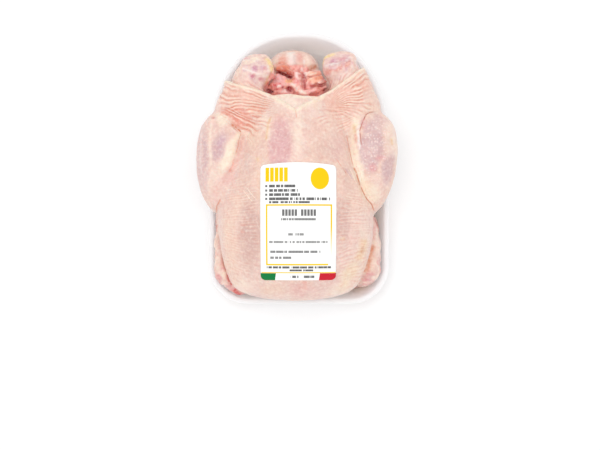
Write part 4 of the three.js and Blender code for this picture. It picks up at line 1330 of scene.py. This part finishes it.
# Painted shade on the foam, tinted pink by light off the bird.
FOAM_PAINTED_SHADE = tone(248, 214, 200)
BEAD_EDGE = solid_tone(226, 224, 226)
BEADS = 900.0
FOAM_GRAIN = 1400.0
# Painted shade beside the bird, tinted pink by light off it: middle, half sizes, turn.
PAINTED_SHADE_SPOTS = [((74, -44), (11, 36), 0), ((57, -108), (26, 12), 20), ((-57, -108), (24, 10), -20)]


def foam_material():
    """Foamed plastic: white, satin, letting light through, with the faint cells of its skin."""
    white = Recipe("white foam", subsurface_weight=1.0, subsurface_scale=0.013, roughness=0.5,
                   subsurface_radius=(1.0, 1.0, 1.0))
    place = white.place()
    beads = white.node("ShaderNodeTexVoronoi", {"feature": "DISTANCE_TO_EDGE"},
                       {"Vector": place, "Scale": BEADS, "Randomness": 0.9})
    grain = white.noise(place, FOAM_GRAIN, 3.0)
    edge = (1 - beads * 9).clamped()
    # The colour read here holds a painted pink reflection of the bird and painted shade beside it.
    colour = white.blend(edge * 0.2, white.attribute("reflection_and_shade"), BEAD_EDGE)
    white.set("Base Color", colour)
    white.set("Roughness", 0.44 + grain * 0.16)
    white.set("Normal", white.bump(grain * 0.3 - edge * 0.4, 0.0001, 0.5))
    return white.material


def make_tray():
    """The section carried round the outline: each ring is the outline moved straight inwards."""
    outline = tray_outline()
    ahead, behind = np.roll(outline, -1, axis=0), np.roll(outline, 1, axis=0)
    along = (ahead - behind) / np.linalg.norm(ahead - behind, axis=1)[:, None]
    inward = np.stack([-along[:, 1], along[:, 0]], axis=1)
    section = rounded(TRAY_SECTION)
    inset = np.minimum(section[:, :1, None], RING_INSET)
    rings = outline[None] + inset * inward[None]
    shrink = np.clip((section[:, 0] - RING_INSET) / (MIDDLE_INSET - RING_INSET), 0, 1)
    rings = rings * (1 - shrink[:, None, None])
    heights = np.repeat(section[:, 1:], len(outline), axis=1)[..., None]
    vertices = np.concatenate([rings, heights], axis=2).reshape(-1, 3)
    count, stations = len(outline), len(section)
    ring, step = np.meshgrid(np.arange(stations - 1), np.arange(count), indexing="ij")
    a = ring * count + step
    b = ring * count + (step + 1) % count
    quads = np.stack([a, b, b + count, a + count], axis=-1).reshape(-1, 4)
    tray = make_piece("foam_tray", vertices, quads, foam_material())
    p = vertices.T
    # Painted light inside the tray: a pink reflection of the bird over its floor and walls, then spots of
    # painted shade beside the bird.
    inside = smooth_step(p[2], 2, 4) * smooth_step(inset_at(p[0], p[1]), 3, 12)
    colour = laid(np.tile(FOAM_WHITE, (len(vertices), 1)), FOAM_REFLECTED_PINK, inside)
    for at, size, turn in PAINTED_SHADE_SPOTS:
        colour = laid(colour, FOAM_PAINTED_SHADE, inside * plan_spot(p, at, size, turn))
    add_colour(tray, "reflection_and_shade", colour)
    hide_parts("tray")


# ---- sticker -------------------------------------------------------------------------------------

BREAST_FROM_Z = 45.0
AIR_FROM_Z = 112.0
HALVINGS = 16


def skin_height(x, y):
    """Height of the breast over the plan, by halving between the air above and the flesh."""
    low, high = np.full(x.shape, BREAST_FROM_Z), np.full(x.shape, AIR_FROM_Z)
    for _ in range(HALVINGS):
        middle = (low + high) / 2
        outside = bird((x, y, middle)) > 0
        high = np.where(outside, middle, high)
        low = np.where(outside, low, middle)
    return low


# Print on the sticker as boxes: from, to, low, high, in millimetres on the plan.
TITLE_BARS = [(-28.0 + 3.9 * i, -24.9 + 3.9 * i, -14.2, -2.4) for i in range(5)]
FRAME_LINES = [
    (-27.6, 27.8, -34.4, -33.1), (-27.6, 24.6, -84.3, -83.0), (-27.6, -26.3, -84.3, -33.1),
    (-31.6, 31, -90.9, -90.1),
]
FADING_LINE = (26.5, 27.8, -78, -33.1)
FADING_LENGTH = 26.0
TICKS = [(-28.2, -26.4, row - 0.9, row + 0.9) for row in (-17.9, -21.6, -25.1, -28.6)]
# Rows of words as broken bars: middle, from, to, thickness, darkness.
WORD_ROWS = [
    (-17.9, -25, -3, 2.3, 1.0), (-21.6, -25, -1, 2.3, 1.0), (-25.1, -25, 1, 2.3, 1.0),
    (-28.6, -25, 27, 2.3, 1.0), (-31.4, -25, 9, 1.8, 1.0), (-45.6, -15, 14, 1.9, 0.85),
    (-58.2, -9, 4, 2.0, 0.8), (-64.6, -25, 24, 1.9, 0.75), (-72.8, -24, 18, 2.0, 0.85),
    (-77.8, -24, -6, 2.0, 0.85), (-86.0, -28, 27, 1.8, 1.0), (-88.5, -8, 12, 1.6, 1.0),
    (-94.0, -8, 0, 2.1, 0.95), (-94.0, 4, 13, 2.1, 0.95),
]
HEADING_BARS = [(-14.0 + 2.62 * i, -12.0 + 2.62 * i, -42.8, -37.4) for i in range(11) if i != 5]
OVAL_AT = (17.5, -11.5)
OVAL_SQUARES = (60.0, 84.0)                       # its half sizes, squared
# Slanted fields at the bottom edge: from, to, low, high, slant.
GREEN_FIELD = (-40, -22, -110, -91.0, -0.14)
RED_FIELD = (15, 40, -110, -91.0, -0.14)
PAPER_WHITE = solid_tone(253, 253, 252)
YELLOW = solid_tone(253, 203, 14)
GREEN = solid_tone(16, 126, 64)
RED = solid_tone(206, 30, 50)
INK = solid_tone(48, 46, 48)
PAPER_GRAIN = 1500.0


def sticker_material():
    """White paper with printed fields; places are millimetres from the tray's middle."""
    paper = Recipe("sticker paper", roughness=0.38, specular_ior_level=0.12)
    place = paper.place()
    across = (paper.node("ShaderNodeSeparateXYZ", {}, {"Vector": place}, out="X") - MIDDLE_X) / MM
    along = paper.node("ShaderNodeSeparateXYZ", {}, {"Vector": place}, out="Y") / MM

    def box(left, right, low, high, slant=0.0):
        """1 inside a box on the plan whose sides may lean."""
        edge = across + (along - low) * slant if slant else across
        return (edge > left) * (edge < right) * (along > low) * (along < high)

    def words(middle, left, right, thickness, shade, row):
        """A bar that noise along the row breaks into words, and a sine into strokes."""
        line = paper.node("ShaderNodeCombineXYZ", {}, {"X": across * 1.2, "Y": row * 7.3})
        gaps = paper.noise(line, 0.5, 1.0) > 0.41
        letters = (across * 5.2).sine() * 0.12 + 0.88
        return box(left, right, middle - thickness / 2, middle + thickness / 2) * gaps * letters * shade

    colour = PAPER_WHITE
    for mask in TITLE_BARS + FRAME_LINES:
        colour = paper.blend(box(*mask), colour, YELLOW)
    fade = ((along - FADING_LINE[2]) / FADING_LENGTH).clamped()
    colour = paper.blend(box(*FADING_LINE) * fade, colour, YELLOW)
    dx, dy = across - OVAL_AT[0], along - OVAL_AT[1]
    oval = (dx * dx / OVAL_SQUARES[0] + dy * dy / OVAL_SQUARES[1]) < 1.0
    colour = paper.blend(oval, colour, YELLOW)
    for mask in TICKS + HEADING_BARS:
        colour = paper.blend(box(*mask) * 0.85, colour, INK)
    for row, bars in enumerate(WORD_ROWS):
        colour = paper.blend(words(*bars, row + 1.0), colour, INK)
    colour = paper.blend(box(*GREEN_FIELD), colour, GREEN)
    colour = paper.blend(box(*RED_FIELD), colour, RED)
    fibre = paper.noise(place, PAPER_GRAIN, 3.0)
    paper.set("Base Color", colour)
    paper.set("Roughness", 0.34 + fibre * 0.1)
    paper.set("Normal", paper.bump(fibre, 0.00003, 0.5))
    return paper.material


STICKER_COLUMNS = 61
STICKER_ROWS = 97


def make_sticker():
    """A sheet with rounded corners: rows whose half width shrinks near both ends, laid over the
    breast at a small gap, with a lower and an upper face and a rim between them."""
    columns, rows = STICKER_COLUMNS, STICKER_ROWS
    u = np.linspace(-1, 1, columns)[None, :]
    v = (0.5 - 0.5 * np.cos(np.linspace(0, np.pi, rows)))[:, None]
    length = LABEL_TO_Y - LABEL_FROM_Y
    from_end = np.minimum(v, 1 - v) * length
    drop = np.maximum(LABEL_CORNER - from_end, 0)
    half_width = LABEL_WIDTH / 2 - LABEL_CORNER + np.sqrt(LABEL_CORNER ** 2 - drop ** 2)
    x = (LABEL_CENTRE_X + u * half_width).ravel()
    y = (LABEL_FROM_Y + v * length + v * LABEL_ARCH * (1 - u * u)).ravel()
    base = (x, y, skin_height(x, y))
    slope = gradient(bird, base)
    steep = np.sqrt(sum(part ** 2 for part in slope))
    ripple = 0.25 * (rough_noise(base, 16, 51) - 0.35)
    faces = []
    for height in (LABEL_GAP, LABEL_GAP + LABEL_THICKNESS):
        rise = height + np.maximum(ripple, 0)
        faces.append(np.stack([value + rise * part / steep for value, part in zip(base, slope)], axis=1))
    number = np.arange(rows * columns).reshape(rows, columns)
    a, b, c, d = number[:-1, :-1], number[:-1, 1:], number[1:, 1:], number[1:, :-1]
    upper = np.stack([a, b, c, d], axis=-1).reshape(-1, 4) + rows * columns
    lower = np.stack([a, d, c, b], axis=-1).reshape(-1, 4)
    ring = np.concatenate([number[0, :-1], number[:-1, -1], number[-1, :0:-1], number[:0:-1, 0]])
    after = np.roll(ring, -1)
    rim = np.stack([ring, after, after + rows * columns, ring + rows * columns], axis=1)
    quads = np.concatenate([upper, lower, rim])
    sticker = make_piece("sticker", np.concatenate(faces), quads, sticker_material())
    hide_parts("label")


make_camera()
make_stage()
make_chicken()
make_tray()
make_sticker()
